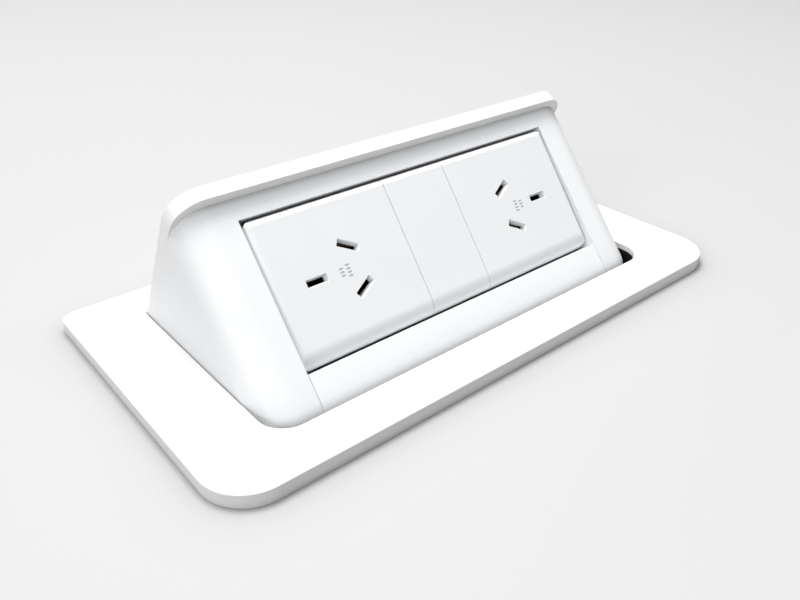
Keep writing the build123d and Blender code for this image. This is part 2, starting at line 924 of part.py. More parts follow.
def sector_screws():
    """The screws that hold the sector to the lug's boss."""
    face = -inner_half + boss_depth + sector_thickness
    fixing = Rot(0, 90, 0) * screw(small_screw, sector_thickness + thread_length)
    return [Pos(face, *polar(sector_screw_radius, angle)) * fixing for angle in sector_screw_angles]


def hinge_bush():
    """The flanged bush in the right lug."""
    inner = inner_half - boss_depth
    bush = rod(bush_radius - running_gap, inner, unit_half, "X")
    bush += rod(bush_flange_radius, unit_half, tub_half - bush_end_gap, "X")
    return bush - rod(pin_radius + running_gap, inner - overrun, tub_half + overrun, "X")


def hinge_pin():
    """The right hinge pin, from outside the tub's wall to the rib inside."""
    outer = tub_half + tub_wall
    return rod(pin_radius, rib_x, outer, "X") + rod(pin_head_radius, outer, outer + pin_head, "X")


def torsion_spring(side):
    """A torsion spring round a hinge pin: its coil as a sleeve, with a fixed and a moving leg."""
    start = rib_x + rib_thickness + spring_inset
    end = start + spring_length
    wire = spring_wire / 2
    coil = rod(spring_radius + wire, start, end, "X")
    coil -= rod(spring_radius - wire, start - overrun, end + overrun, "X")
    fixed = Pos(start + wire, 0, -spring_radius) * rod(wire, 0, spring_fixed_leg, "Y")
    tip = (-cover_wall_y + spring_seat_gap + wire, -spring_leg_drop)
    distance = math.hypot(*tip)
    tip_angle = math.degrees(math.atan2(tip[1], tip[0]))
    touch = polar(spring_radius, tip_angle + math.degrees(math.acos(spring_radius / distance)))
    length = math.dist(touch, tip)
    lean = math.degrees(math.atan2(tip[1] - touch[1], tip[0] - touch[0]))
    moving = Pos(end - wire, *touch) * Rot(lean, 0, 0) * rod(wire, 0, length, "Y")
    solid = coil + fixed + Rot(-open_angle, 0, 0) * moving
    return solid if side > 0 else mirror(solid, about=Plane.YZ)


def pinion_centre():
    """(y, z) of the damper's axis from the hinge axis."""
    return polar(gear_module * (sector_teeth + pinion_teeth) / 2, pinion_angle)


def damper_pinion():
    """The damper's pinion and its shaft."""
    half_pitch = 180 / pinion_teeth
    outer = -inner_half + boss_depth + sector_gap
    width = sector_thickness - 2 * sector_gap
    gear = prism(gear_outline(pinion_teeth, pinion_angle + 180 + half_pitch), outer, outer + width)
    shaft = rod(damper_shaft_radius, outer + width, outer + width + damper_shaft_depth, "X")
    return Pos(0, *pinion_centre()) * (gear + shaft)


def damper_body():
    """The rotary damper's housing, on the left rib."""
    rib_face = -rib_x - rib_thickness
    body = rod(damper_radius, rib_face - damper_length, rib_face, "X")
    for across, up in damper_ears():
        reach = math.hypot(across, up)
        ear = prism(disc_face(damper_ear_radius, (across, up)), rib_face - damper_ear_thickness, rib_face)
        arm = Box(damper_ear_thickness, reach, 2 * damper_ear_radius)
        turn = Rot(math.degrees(math.atan2(up, across)), 0, 0)
        body += ear + turn * Pos(rib_face - damper_ear_thickness / 2, reach / 2, 0) * arm
    ear_face = rib_face - damper_ear_thickness
    for across, up in damper_ears():
        hole = rod(small_screw[0] + clearance_gap, ear_face - overrun, rib_face + overrun, "X")
        body -= Pos(0, across, up) * hole
    bore_end = rib_face - damper_length + damper_shaft_depth + overrun
    body -= rod(damper_shaft_radius + running_gap, rib_face - damper_length - overrun, bore_end, "X")
    return Pos(0, *pinion_centre()) * body


def damper_ears():
    """The places of the damper's two ears from its axis."""
    return [polar(damper_ear_reach, damper_ear_angle + turn) for turn in (0, 180)]


def damper_screws():
    """The screws of the damper."""
    face = -rib_x - rib_thickness - damper_ear_thickness
    across, up = pinion_centre()
    fixing = Rot(0, -90, 0) * screw(small_screw, damper_ear_thickness + rib_thickness - clearance_gap)
    return [Pos(face, across + dy, up + dz) * fixing for dy, dz in damper_ears()]


def bezel_plate():
    """The plate on the desk, with the opening and the pocket for the tub's rim below its lip."""
    outline = rounded_face(
        [(-plate_half, plate_front, plate_front_radius), (plate_half, plate_front, plate_front_radius),
         (plate_half, plate_rear, plate_rear_radius), (-plate_half, plate_rear, plate_rear_radius)]
    )
    plate = extrude(outline, amount=plate_thickness)
    across = opening_length / 2
    opening = rounded_face(
        [(-across, opening_front, opening_front_radius), (across, opening_front, opening_front_radius),
         (across, opening_rear, opening_rear_radius), (-across, opening_rear, opening_rear_radius)]
    )
    plate -= extrude(Pos(0, 0, -overrun) * opening, amount=plate_thickness + 2 * overrun)
    plate = fillet(plate.faces().sort_by(Axis.Z)[-1].edges(), edge_radius)
    outer = tub_half + tub_wall + rim_gap
    pocket = block(
        (-outer, tub_front - tub_wall - rim_gap, -overrun),
        (outer, tub_rear + tub_wall + rim_gap, rim_top),
    )
    plate -= pocket
    sweep = rod(lid_rear_radius + rear_sweep_gap, -across, across, "X")
    plate -= at_hinge * sweep
    for x, y in ear_places():
        plate -= Pos(x, y, 0) * rod(medium_screw[0] + thread_gap, -overrun, bezel_screw_bite + clearance_gap)
    return plate


def ear_places():
    """The places of the screws that hold the tub to the plate."""
    across = tub_half + tub_wall + ear_length / 2
    return [(x, y) for x in (-across, across) for y in (ear_front_y, ear_rear_y)]


def bezel_screws():
    """The screws through the tub's ears up into the plate."""
    fixing = Rot(180, 0, 0) * screw(medium_screw, ear_thickness + bezel_screw_bite)
    return [Pos(x, y, -ear_thickness) * fixing for x, y in ear_places()]


def tub_shell():
    """The tub's walls and floor, with the alcove for the gland at its rear right."""
    outer_half = tub_half + tub_wall
    front = tub_front - tub_wall
    rear = tub_rear + tub_wall
    ceiling = tub_bottom + alcove_rise
    shell = block((-outer_half, front, tub_bottom), (outer_half, rear, rim_top))
    shell = fillet(shell.edges().filter_by(Axis.Z), tub_edge_radius)
    shell -= block(
        (alcove_x, alcove_y, tub_bottom - overrun), (outer_half + overrun, rear + overrun, ceiling)
    )
    inside = block((-tub_half, tub_front, -tub_inner_depth), (tub_half, tub_rear, rim_top + overrun))
    inside -= block(
        (alcove_x - tub_wall, alcove_y - tub_wall, -tub_inner_depth - overrun),
        (tub_half + overrun, tub_rear + overrun, ceiling + tub_wall),
    )
    return shell - inside


def rib_section():
    """A rib's section round the hinge axis, with a front edge that follows the closed back cover."""
    lean = back_offset + pad_gap + pad_thickness

    def on_edge(z):
        return (lean - back_normal[1] * z) / back_normal[0], z

    top = (back_normal[0] * rib_strip + lean) / back_normal[1]
    wall = tub_rear - hinge_y + tub_wall / 2
    corners = [
        (-rib_strip, 0),
        (-rib_strip, top),
        on_edge(-rib_bottom),
        (wall, -rib_bottom),
        (wall, -rib_shoulder),
        (rib_strip, -rib_shoulder),
        (rib_strip, 0),
    ]
    return sharp_face(corners) + disc_face(rib_disc_radius)


def tub_rib():
    """The right rib with the spring's peg."""
    rib = prism(rib_section(), rib_x, rib_x + rib_thickness)
    peg_z = -spring_radius + spring_wire / 2 + peg_radius + clearance_gap
    peg = rod(peg_radius, rib_x + rib_thickness / 2, rib_x + rib_thickness + peg_length, "X")
    rib += Pos(0, peg_reach, peg_z) * peg
    return rib - rod(pin_radius + running_gap, rib_x - overrun, rib_x + rib_thickness + overrun, "X")


def clamp_channel():
    """The T-slot on the tub's right end wall, in which the clamp's nut slides."""
    wall = tub_half + tub_wall
    inner = wall + channel_depth
    outer = inner + channel_lip
    half = channel_width / 2
    nut_half = nut_size / 2 + nut_gap
    rail = block((wall - tub_wall / 2, -half, -channel_bottom), (outer, half, -channel_top))
    rail -= block((wall, -nut_half, -channel_bottom - overrun), (inner, nut_half, -channel_top + overrun))
    slot = channel_slot / 2
    rail -= block((wall, -slot, -channel_bottom - overrun), (outer + overrun, slot, -channel_top + overrun))
    return Pos(0, clamp_y, 0) * rail


def access_places():
    """The places of the access cover's screws."""
    across = access_length / 2 - access_screw_inset
    along = access_width / 2 - access_screw_inset
    return [(x, terminal_y + y) for x in (-across, across) for y in (-along, along)]


def tub_housing():
    """The tub: walls, ears, ribs, stop ledges, clamp channels, shelf, pads and openings."""
    tub = tub_shell()
    half_ear = ear_width / 2
    reach = tub_half + tub_wall + ear_length
    for side in (-1, 1):
        for y in (ear_front_y, ear_rear_y):
            edge = side * (tub_half + tub_wall / 2)
            ear = block(
                (min(edge, side * reach), y - half_ear, -ear_thickness),
                (max(edge, side * reach), y + half_ear, 0),
            )
            tub += ear
    for x, y in ear_places():
        tub -= Pos(x, y, 0) * rod(medium_screw[0] + clearance_gap, -ear_thickness - overrun, overrun)
    for solid in both_ends(at_hinge * tub_rib()) + both_ends(clamp_channel()) + both_ends(stop_ledge()):
        tub += solid
    bore = pin_radius + running_gap
    for solid in both_ends(at_hinge * rod(bore, tub_half - overrun, tub_half + tub_wall + overrun, "X")):
        tub -= solid
    across, up = pinion_centre()
    for dy, dz in damper_ears():
        hole = rod(small_screw[0] + thread_gap, -rib_x - rib_thickness - overrun, -rib_x + overrun, "X")
        tub -= at_hinge * Pos(0, across + dy, up + dz) * hole
    tub += terminal_shelf() + latch_seat()
    boss_top = -tub_inner_depth + access_boss_height
    for x, y in access_places():
        tub += Pos(x, y, 0) * rod(access_boss_radius, -tub_inner_depth - tub_floor / 2, boss_top)
    half_x = access_length / 2
    half_y = access_width / 2
    pocket_top = tub_bottom + access_thickness
    tub -= block(
        (-half_x, terminal_y - half_y, tub_bottom - overrun), (half_x, terminal_y + half_y, pocket_top)
    )
    tub -= block(
        (-half_x + access_border, terminal_y - half_y + access_border, tub_bottom - overrun),
        (half_x - access_border, terminal_y + half_y - access_border, -tub_inner_depth + overrun),
    )
    for x, y in access_places():
        tub -= Pos(x, y, 0) * rod(small_screw[0] + thread_gap, tub_bottom, boss_top - overrun)
    ceiling = tub_bottom + alcove_rise
    gland_hole = rod(gland_thread_radius + clearance_gap, ceiling - overrun, ceiling + tub_wall + overrun)
    tub -= Pos(gland_x, gland_y, 0) * gland_hole
    for x, y in latch_screw_places():
        top = -tub_inner_depth + latch_pad
        tub -= Pos(x, y, top) * screw_hole(small_screw, latch_pad + tub_floor / 2)
    for x in terminal_fixings():
        hole = rod(medium_screw[0] + thread_gap, -shelf_thickness - overrun, overrun)
        tub -= Pos(x, terminal_y, -shelf_drop) * hole
    return tub


def stop_ledge():
    """The right ledge on the rear wall, under the lid's rear arc when the unit is open."""
    top = hinge_z - lid_skirt_drop - pad_gap - pad_thickness
    return block(
        (ledge_x, tub_rear - ledge_reach, top - ledge_thickness),
        (ledge_x + ledge_length, tub_rear + tub_wall / 2, top),
    )


def terminal_shelf():
    """The shelf that the terminal block hangs under."""
    half = terminal_length / 2 + shelf_margin
    front = terminal_y - terminal_depth / 2 - shelf_margin / 2
    return block(
        (-half, front, -shelf_drop - shelf_thickness), (half, tub_rear + tub_wall / 2, -shelf_drop)
    )


def latch_seat():
    """The raised pad under the latch."""
    half = latch_width / 2 + latch_ear
    middle = latch_front_y + latch_length / 2
    low = (latch_x - half, middle - latch_length / 2, -tub_inner_depth - tub_floor / 2)
    return block(low, (latch_x + half, middle + latch_length / 2, -tub_inner_depth + latch_pad))


def stop_pads():
    """Rubber pads: two on the ribs for the closed stop, two on the ledges for the open one."""
    lean = back_offset + pad_gap
    along = (pad_from_top + pad_length / 2) + (rib_strip + lean * back_normal[0]) / -back_normal[1]
    closed = block(
        (rib_x + (rib_thickness - pad_width) / 2, along - pad_length / 2, pad_gap),
        (rib_x + (rib_thickness + pad_width) / 2, along + pad_length / 2, pad_gap + pad_thickness),
    )
    closed = at_hinge * (back_plane * closed)
    top = hinge_z - lid_skirt_drop - pad_gap
    opened = block(
        (ledge_x + open_pad_inset, tub_rear - ledge_reach + open_pad_inset, top - pad_thickness),
        (ledge_x + ledge_length - open_pad_inset, tub_rear - open_pad_inset, top),
    )
    return both_ends(closed) + both_ends(opened)


def terminal_fixings():
    """The places along X of the terminal block's fixing screws."""
    return (-terminal_pitch / 2, terminal_pitch / 2)


def terminal_poles():
    """The places along X of the terminal block's poles."""
    return (-terminal_pitch, 0, terminal_pitch)


def insert_height():
    """The height of the axis of the wire holes."""
    return -shelf_drop - shelf_thickness - insert_lift - insert_size / 2


def terminal_block():
    """The terminal block's moulding."""
    top = -shelf_drop - shelf_thickness
    half_x = terminal_length / 2
    half_y = terminal_depth / 2
    body = block(
        (-half_x, terminal_y - half_y, top - terminal_height), (half_x, terminal_y + half_y, top)
    )
    size = insert_size / 2 + insert_gap
    for x in terminal_poles():
        body -= Pos(x, terminal_y, insert_height()) * Box(2 * size, terminal_depth + overrun, 2 * size)
        for y in insert_screw_places():
            hole = rod(insert_screw_radius + clearance_gap, top - terminal_height - overrun, insert_height())
            body -= Pos(x, y, 0) * hole
    for x in terminal_fixings():
        hole = rod(medium_screw[0] + clearance_gap, top - terminal_height - overrun, top + overrun)
        body -= Pos(x, terminal_y, 0) * hole
    return body


def insert_screw_places():
    """The places along Y of the two screws of each pole."""
    return (terminal_y - insert_screw_spacing / 2, terminal_y + insert_screw_spacing / 2)


def terminal_inserts():
    """The brass inserts, each with a wire hole and two screw holes."""
    low = insert_height() - insert_size / 2
    solids = []
    for x in terminal_poles():
        insert = Box(insert_size, insert_length, insert_size)
        insert -= rod(insert_wire_radius, -insert_length, insert_length, "Y")
        insert = Pos(x, terminal_y, insert_height()) * insert
        for y in insert_screw_places():
            insert -= Pos(x, y, 0) * rod(insert_screw_radius + thread_gap, low - overrun, insert_height())
        solids.append(insert)
    return solids


def wire_screws():
    """The headless screws that hold the wires in the inserts."""
    low = -shelf_drop - shelf_thickness - terminal_height + driver_slot_depth
    high = insert_height() - insert_wire_radius / 2
    grub = rod(insert_screw_radius, low, high)
    grub -= Pos(0, 0, low) * Box(2 * insert_screw_radius + overrun, driver_slot_width, 2 * driver_slot_depth)
    return [Pos(x, y, 0) * grub for x in terminal_poles() for y in insert_screw_places()]


def terminal_screws():
    """The screws that hold the terminal block to its shelf."""
    low = -shelf_drop - shelf_thickness - terminal_height
    fixing = Rot(180, 0, 0) * screw(medium_screw, terminal_height + shelf_thickness)
    return [Pos(x, terminal_y, low) * fixing for x in terminal_fixings()]


def access_cover():
    """The cover in the tub's floor, flush with the bottom."""
    half_x = access_length / 2 - access_gap
    half_y = access_width / 2 - access_gap
    cover = block(
        (-half_x, terminal_y - half_y, tub_bottom + access_gap),
        (half_x, terminal_y + half_y, tub_bottom + access_thickness),
    )
    for x, y in access_places():
        through = rod(small_screw[0] + clearance_gap, 0, 2 * access_thickness)
        cover -= Pos(x, y, tub_bottom) * (sink_cone(clearance_gap) + through)
    return cover


def sink_cone(gap):
    """The cone of a countersunk head, wide at its lower end."""
    head = small_screw[1] + gap
    height = access_thickness - access_gap
    return Pos(0, 0, height / 2 + access_gap) * Cone(head, small_screw[0] + gap, height)


def access_screws():
    """The countersunk screws of the access cover."""
    shank = rod(small_screw[0], tub_bottom + access_thickness / 2, -tub_inner_depth + access_boss_height / 2)
    head = Pos(0, 0, tub_bottom) * sink_cone(0)
    return [Pos(x, y, 0) * (shank + head) for x, y in access_places()]


def latch_screw_places():
    """The places of the latch's screws."""
    across = latch_width / 2 + latch_ear / 2
    middle = latch_front_y + latch_length / 2
    return [(latch_x - across, middle), (latch_x + across, middle)]


def latch_axis_height():
    """The height of the plunger's axis."""
    return -tub_inner_depth + latch_pad + latch_height / 2


def latch_body():
    """The push latch's housing with its bore."""
    base = -tub_inner_depth + latch_pad
    half = latch_width / 2
    rear = latch_front_y + latch_length
    body = block((latch_x - half, latch_front_y, base), (latch_x + half, rear, base + latch_height))
    middle = latch_front_y + latch_length / 2
    body += block(
        (latch_x - half - latch_ear, middle - latch_ear_depth / 2, base),
        (latch_x + half + latch_ear, middle + latch_ear_depth / 2, base + latch_ear_thickness),
    )
    bore = rod(plunger_radius + running_gap, latch_front_y - overrun, rear - latch_wall, "Y")
    body -= Pos(latch_x, 0, latch_axis_height()) * bore
    for x, y in latch_screw_places():
        hole = rod(small_screw[0] + clearance_gap, -overrun, latch_ear_thickness + overrun)
        body -= Pos(x, y, base) * hole
    return body


def latch_screws():
    """The screws of the latch."""
    top = -tub_inner_depth + latch_pad + latch_ear_thickness
    fixing = screw(small_screw, latch_ear_thickness + latch_pad)
    return [Pos(x, y, top) * fixing for x, y in latch_screw_places()]


def magnet_front():
    """The Y of the magnet's face, just clear of the striker of the closed unit."""
    return hinge_y - striker_reach + magnet_gap


def latch_plunger():
    """The latch's plunger, hollow behind for its spring."""
    front = magnet_front() + magnet_thickness
    plunger = rod(plunger_radius, front, front + plunger_length, "Y")
    rear = front + plunger_length
    plunger -= rod(plunger_bore_radius, rear - plunger_bore_depth, rear + overrun, "Y")
    return Pos(latch_x, 0, latch_axis_height()) * plunger


def latch_magnet():
    """The magnet on the plunger's tip."""
    front = magnet_front()
    return Pos(latch_x, 0, latch_axis_height()) * rod(magnet_radius, front, front + magnet_thickness, "Y")


def latch_spring():
    """The latch's spring, its coil as a sleeve between the plunger and the bore's end."""
    start = magnet_front() + magnet_thickness + plunger_length - plunger_bore_depth
    end = latch_front_y + latch_length - latch_wall
    wire = latch_spring_wire / 2
    coil = rod(latch_spring_radius + wire, start, end, "Y")
    coil -= rod(latch_spring_radius - wire, start - overrun, end + overrun, "Y")
    return Pos(latch_x, 0, latch_axis_height()) * coil


def hexagon(radius, low, high):
    """A six-sided bar along Z."""
    outline = RegularPolygon(radius, side_count=6)
    return extrude(Pos(0, 0, low) * outline, amount=high - low)


def gland_levels():
    """The heights of the alcove's ceiling, of the gland's flange and of its spigot's lower end."""
    ceiling = tub_bottom + alcove_rise
    flange = ceiling - gland_flange
    return ceiling, flange, flange - gland_spigot


def gland_body():
    """The gland's body: thread through the ceiling, hexagon below it, spigot for the dome nut."""
    ceiling, flange, spigot = gland_levels()
    body = rod(gland_thread_radius, spigot, ceiling + gland_top_reach)
    body += hexagon(gland_hex_radius, flange, ceiling)
    body -= rod(gland_bore_radius, spigot - overrun, ceiling + gland_top_reach + overrun)
    body -= rod(seal_radius + seal_gap, spigot - overrun, spigot + seal_length)
    return Pos(gland_x, gland_y, 0) * body


def gland_seal():
    """The gland's rubber seal."""
    spigot = gland_levels()[2]
    ring = rod(seal_radius, spigot, spigot + seal_length)
    ring -= rod(seal_bore_radius, spigot - overrun, spigot + seal_length + overrun)
    return Pos(gland_x, gland_y, 0) * ring


def gland_dome_nut():
    """The dome nut that presses the seal."""
    flange, spigot = gland_levels()[1:]
    bottom = spigot - gland_dome_end
    top = flange - clearance_gap
    nut = rod(gland_dome_radius, bottom, top)
    nut = fillet(nut.edges().sort_by(Axis.Z)[0], gland_dome_end / 2)
    nut -= rod(gland_thread_radius + thread_gap, spigot, top + overrun)
    nut -= rod(cable_entry_radius, bottom - overrun, spigot + overrun)
    return Pos(gland_x, gland_y, 0) * nut


def gland_locknut():
    """The lock nut above the alcove's ceiling."""
    low = gland_levels()[0] + tub_wall
    nut = hexagon(gland_hex_radius, low, low + locknut_height)
    nut -= rod(gland_thread_radius + thread_gap, low - overrun, low + locknut_height + overrun)
    return Pos(gland_x, gland_y, 0) * nut


def clamp_face():
    """The X of the clamp channel's outer face."""
    return tub_half + tub_wall + channel_depth + channel_lip


def clamp_bracket():
    """The right clamp's angle bracket, whose foot presses the desk's underside."""
    inner = clamp_face() + clamp_gap
    half = clamp_width / 2
    top = -desk_thickness
    bracket = block((inner, -half, top - clamp_leg), (inner + clamp_plate, half, top))
    bracket += block((inner, -half, top - clamp_foot_thickness), (inner + clamp_foot_reach, half, top))
    hole = rod(clamp_screw_radius + clearance_gap, inner - overrun, inner + clamp_plate + overrun, "X")
    bracket -= Pos(0, 0, top - clamp_screw_drop) * hole
    return Pos(0, clamp_y, 0) * bracket


def clamp_nut():
    """The right clamp's square nut in the channel."""
    inner = tub_half + tub_wall + nut_gap
    half = nut_size / 2
    nut = block((inner, -half, -half), (inner + nut_thickness, half, half))
    nut -= rod(clamp_screw_radius + thread_gap, inner - overrun, inner + nut_thickness + overrun, "X")
    return Pos(0, clamp_y, -desk_thickness - clamp_screw_drop) * nut


def clamp_thumbscrew():
    """The right clamp's knurled thumbscrew."""
    seat = clamp_face() + clamp_gap + clamp_plate
    screw_end = tub_half + tub_wall + nut_gap
    knob = rod(thumb_radius, seat, seat + thumb_length, "X")
    for index in range(thumb_grooves):
        groove = rod(thumb_groove_radius, seat - overrun, seat + thumb_length + overrun, "X")
        knob -= Pos(0, *polar(thumb_radius, 360 * index / thumb_grooves)) * groove
    knob += rod(clamp_screw_radius, screw_end, seat, "X")
    return Pos(0, clamp_y, -desk_thickness - clamp_screw_drop) * knob


shell = body_shell()
frames = {"left": slot_frames(-1), "right": slot_frames(1)}
contact_names = ("earth", "active", "neutral")

fixed_pieces = {
    "bezel_plate": [bezel_plate()],
    "bezel_screws": bezel_screws(),
    "tub_housing": [tub_housing()],
    "hinge_pin_right": [at_hinge * hinge_pin()],
    "hinge_pin_left": [mirror(at_hinge * hinge_pin(), about=Plane.YZ)],
    "torsion_spring_right": [at_hinge * torsion_spring(1)],
    "torsion_spring_left": [at_hinge * torsion_spring(-1)],
    "stop_pads": stop_pads(),
    "damper_body": [at_hinge * damper_body()],
    "damper_screws": [at_hinge * solid for solid in damper_screws()],
    "damper_pinion": [at_hinge * damper_pinion()],
    "latch_body": [latch_body()],
    "latch_screws": latch_screws(),
    "latch_plunger": [latch_plunger()],
    "latch_magnet": [latch_magnet()],
    "latch_spring": [latch_spring()],
    "terminal_block": [terminal_block()],
    "terminal_inserts": terminal_inserts(),
    "terminal_wire_screws": wire_screws(),
    "terminal_fixing_screws": terminal_screws(),
    "access_cover": [access_cover()],
    "access_screws": access_screws(),
    "gland_body": [gland_body()],
    "gland_seal": [gland_seal()],
    "gland_dome_nut": [gland_dome_nut()],
    "gland_locknut": [gland_locknut()],
    "clamp_bracket_right": [clamp_bracket()],
    "clamp_bracket_left": [mirror(clamp_bracket(), about=Plane.YZ)],
    "clamp_nut_right": [clamp_nut()],
    "clamp_nut_left": [mirror(clamp_nut(), about=Plane.YZ)],
    "clamp_thumbscrew_right": [clamp_thumbscrew()],
    "clamp_thumbscrew_left": [mirror(clamp_thumbscrew(), about=Plane.YZ)],
}

unit_pieces = {
    "lid_cover": [lid_cover()],
    "lid_screws": lid_screws(),
    "face_frame": [face_frame(shell)],
    "front_rail": [shell & rail_zone(seam_gap)],
    "module_carrier": [module_plane * module_carrier()],
    "carrier_screws": [module_plane * solid for solid in carrier_screws()],
    "blank_cover": [module_plane * blank_cover()],
    "back_cover": [back_cover()],
    "back_cover_screws": cover_screws(),
    "striker": [striker()],
    "gear_sector": [gear_sector()],
    "gear_sector_screws": sector_screws(),
    "hinge_bush_right": [hinge_bush()],
    "hinge_bush_left": [mirror(hinge_bush(), about=Plane.YZ)],
}
for side_name, side_sign in (("left", -1), ("right", 1)):
    unit_pieces[f"{side_name}_outlet_cover"] = [module_plane * outlet_cover(side_sign)]
    unit_pieces[f"{side_name}_outlet_base"] = [module_plane * outlet_base(side_sign)]
    for contact_name, slot_frame in zip(contact_names, frames[side_name]):
        unit_pieces[f"{side_name}_{contact_name}_contact"] = [module_plane * contact(slot_frame)]
unit_pieces["outlet_terminal_screws"] = [
    module_plane * terminal_screw(slot_frame) for group in frames.values() for slot_frame in group
]

os.makedirs("parts", exist_ok=True)
for node, solids in fixed_pieces.items():
    export_step(Compound(children=solids) if len(solids) > 1 else solids[0], f"parts/{node}.step")
for node, solids in unit_pieces.items():
    placed = [swing_open * solid for solid in solids]
    export_step(Compound(children=placed) if len(placed) > 1 else placed[0], f"parts/{node}.step")
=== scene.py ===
"""A pop up desk socket, dressed for a studio picture.

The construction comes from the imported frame. This script gives every piece its finish and its
soft moulded edges, winds the springs, raises the gland's thread, flutes its dome nut and prints
the outlets' marks. Then it lays the pale desk round the cut-out, and sets the lights and the
camera. Lengths are in metres and the angles among the sizes in degrees. +X runs along the plate,
+Y to the hinge at the rear and +Z up, with the desk's surface at 0. A sub-assembly is a class,
and so is a kind of finish.
"""

from __future__ import annotations

import json
import logging
import math
from dataclasses import dataclass
from enum import Enum

import bpy
import numpy as np
from mathutils import Matrix, Vector


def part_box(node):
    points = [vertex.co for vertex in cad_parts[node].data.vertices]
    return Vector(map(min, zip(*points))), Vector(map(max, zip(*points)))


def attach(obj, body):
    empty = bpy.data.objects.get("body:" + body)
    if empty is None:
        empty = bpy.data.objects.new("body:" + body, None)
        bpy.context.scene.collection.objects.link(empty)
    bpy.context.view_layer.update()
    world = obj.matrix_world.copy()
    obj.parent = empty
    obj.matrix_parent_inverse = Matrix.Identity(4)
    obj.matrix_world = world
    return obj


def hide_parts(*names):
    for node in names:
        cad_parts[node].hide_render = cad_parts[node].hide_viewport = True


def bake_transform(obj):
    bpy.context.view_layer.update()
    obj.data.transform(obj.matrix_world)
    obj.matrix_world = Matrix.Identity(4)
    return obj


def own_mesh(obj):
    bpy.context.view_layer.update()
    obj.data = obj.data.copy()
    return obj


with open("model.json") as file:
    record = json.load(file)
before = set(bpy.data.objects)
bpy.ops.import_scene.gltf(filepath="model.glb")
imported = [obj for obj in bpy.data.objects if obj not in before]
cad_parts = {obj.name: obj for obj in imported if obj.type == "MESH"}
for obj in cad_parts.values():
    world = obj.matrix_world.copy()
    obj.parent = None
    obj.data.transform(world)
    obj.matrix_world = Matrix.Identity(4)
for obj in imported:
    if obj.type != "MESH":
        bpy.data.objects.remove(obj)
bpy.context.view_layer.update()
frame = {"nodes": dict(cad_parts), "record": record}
log = logging.getLogger("desk_socket")

MM = 0.001
TURN = 2 * math.pi
WHITE = (1.0, 1.0, 1.0, 1.0)
X_AXIS, Y_AXIS, Z_AXIS = np.eye(3)

# A Mix node has sockets of the same name for each kind of data, so its colours go by number.
MIX_FIRST, MIX_SECOND, MIX_RESULT = 6, 7, 2

# The value about which noise varies.
NOISE_MIDDLE = 0.5

# The least and the most roughness that a finish may reach.
SMOOTHEST, ROUGHEST = 0.05, 1.0

# The crease in degrees above which an edge of a new piece stays sharp.
CREASE = 35.0

# How a CAD node's triangles are joined, cleared of flat edges and rounded.
WELD_REACH = 0.001 * MM
FLAT_ANGLE = 0.5
EDGE_ANGLE = 40.0
EDGE_SEGMENTS = 2

Pair = tuple[float, float]
Triple = tuple[float, float, float]
Inputs = dict[str | int, object]


class Value:
    """A number that varies over a surface: a shader socket whose arithmetic adds Math nodes."""

    def __init__(self, tree: ShaderTree, socket: bpy.types.NodeSocket) -> None:
        """Keeps the socket.

        Args:
            tree: the tree that the socket belongs to.
            socket: the output socket that carries the number.
        """
        self.tree = tree
        self.socket = socket

    def _math(self, operation: str, *values: Value | float) -> Value:
        """Adds a Math node.

        Args:
            operation: Blender's name for the operation.
            values: the node's inputs, in order.

        Returns:
            The node's result.
        """
        node = self.tree.node("ShaderNodeMath", {"operation": operation}, dict(enumerate(values)))
        return Value(self.tree, node.outputs[0])

    def __add__(self, other: Value | float) -> Value:
        """This plus another."""
        return self._math("ADD", self, other)

    __radd__ = __add__

    def __sub__(self, other: Value | float) -> Value:
        """This less another."""
        return self._math("SUBTRACT", self, other)

    def __rsub__(self, other: float) -> Value:
        """A number less this."""
        return self._math("SUBTRACT", other, self)

    def __mul__(self, other: Value | float) -> Value:
        """This times another."""
        return self._math("MULTIPLY", self, other)

    __rmul__ = __mul__

    def to_power(self, power: float) -> Value:
        """This to a power."""
        return self._math("POWER", self, power)

    def kept_between(self, low: float, high: float) -> Value:
        """This, held between two limits."""
        return self._math("MAXIMUM", self._math("MINIMUM", self, high), low)

    def above(self, start: float, contrast: float) -> Value:
        """How far this is above a start, times a contrast, held from 0 to 1."""
        return ((self - start) * contrast).kept_between(0.0, 1.0)


class ShaderTree:
    """A tree of shader nodes under construction."""

    def __init__(self, tree: bpy.types.NodeTree) -> None:
        """Keeps the tree.

        Args:
            tree: the node tree of a material or a world.
        """
        self.tree = tree

    def node(
        self, kind: str, settings: dict[str, object] | None = None, inputs: Inputs | None = None
    ) -> bpy.types.Node:
        """Adds a node: its settings first, then the values or links of its sockets.

        Args:
            kind: the node's type.
            settings: attributes of the node, such as a Math node's operation.
            inputs: socket name or number to a number, colour, Value or output socket.

        Returns:
            The node.
        """
        node = self.tree.nodes.new(kind)
        for name, value in (settings or {}).items():
            setattr(node, name, value)
        self.feed(node, inputs or {})
        return node

    def feed(self, node: bpy.types.Node, inputs: Inputs) -> None:
        """Sets or links sockets of a node.

        Args:
            node: the node.
            inputs: socket name or number to a number, colour, Value or output socket.
        """
        for key, value in inputs.items():
            if isinstance(value, Value):
                value = value.socket
            if isinstance(value, bpy.types.NodeSocket):
                self.tree.links.new(value, node.inputs[key])
            else:
                node.inputs[key].default_value = value


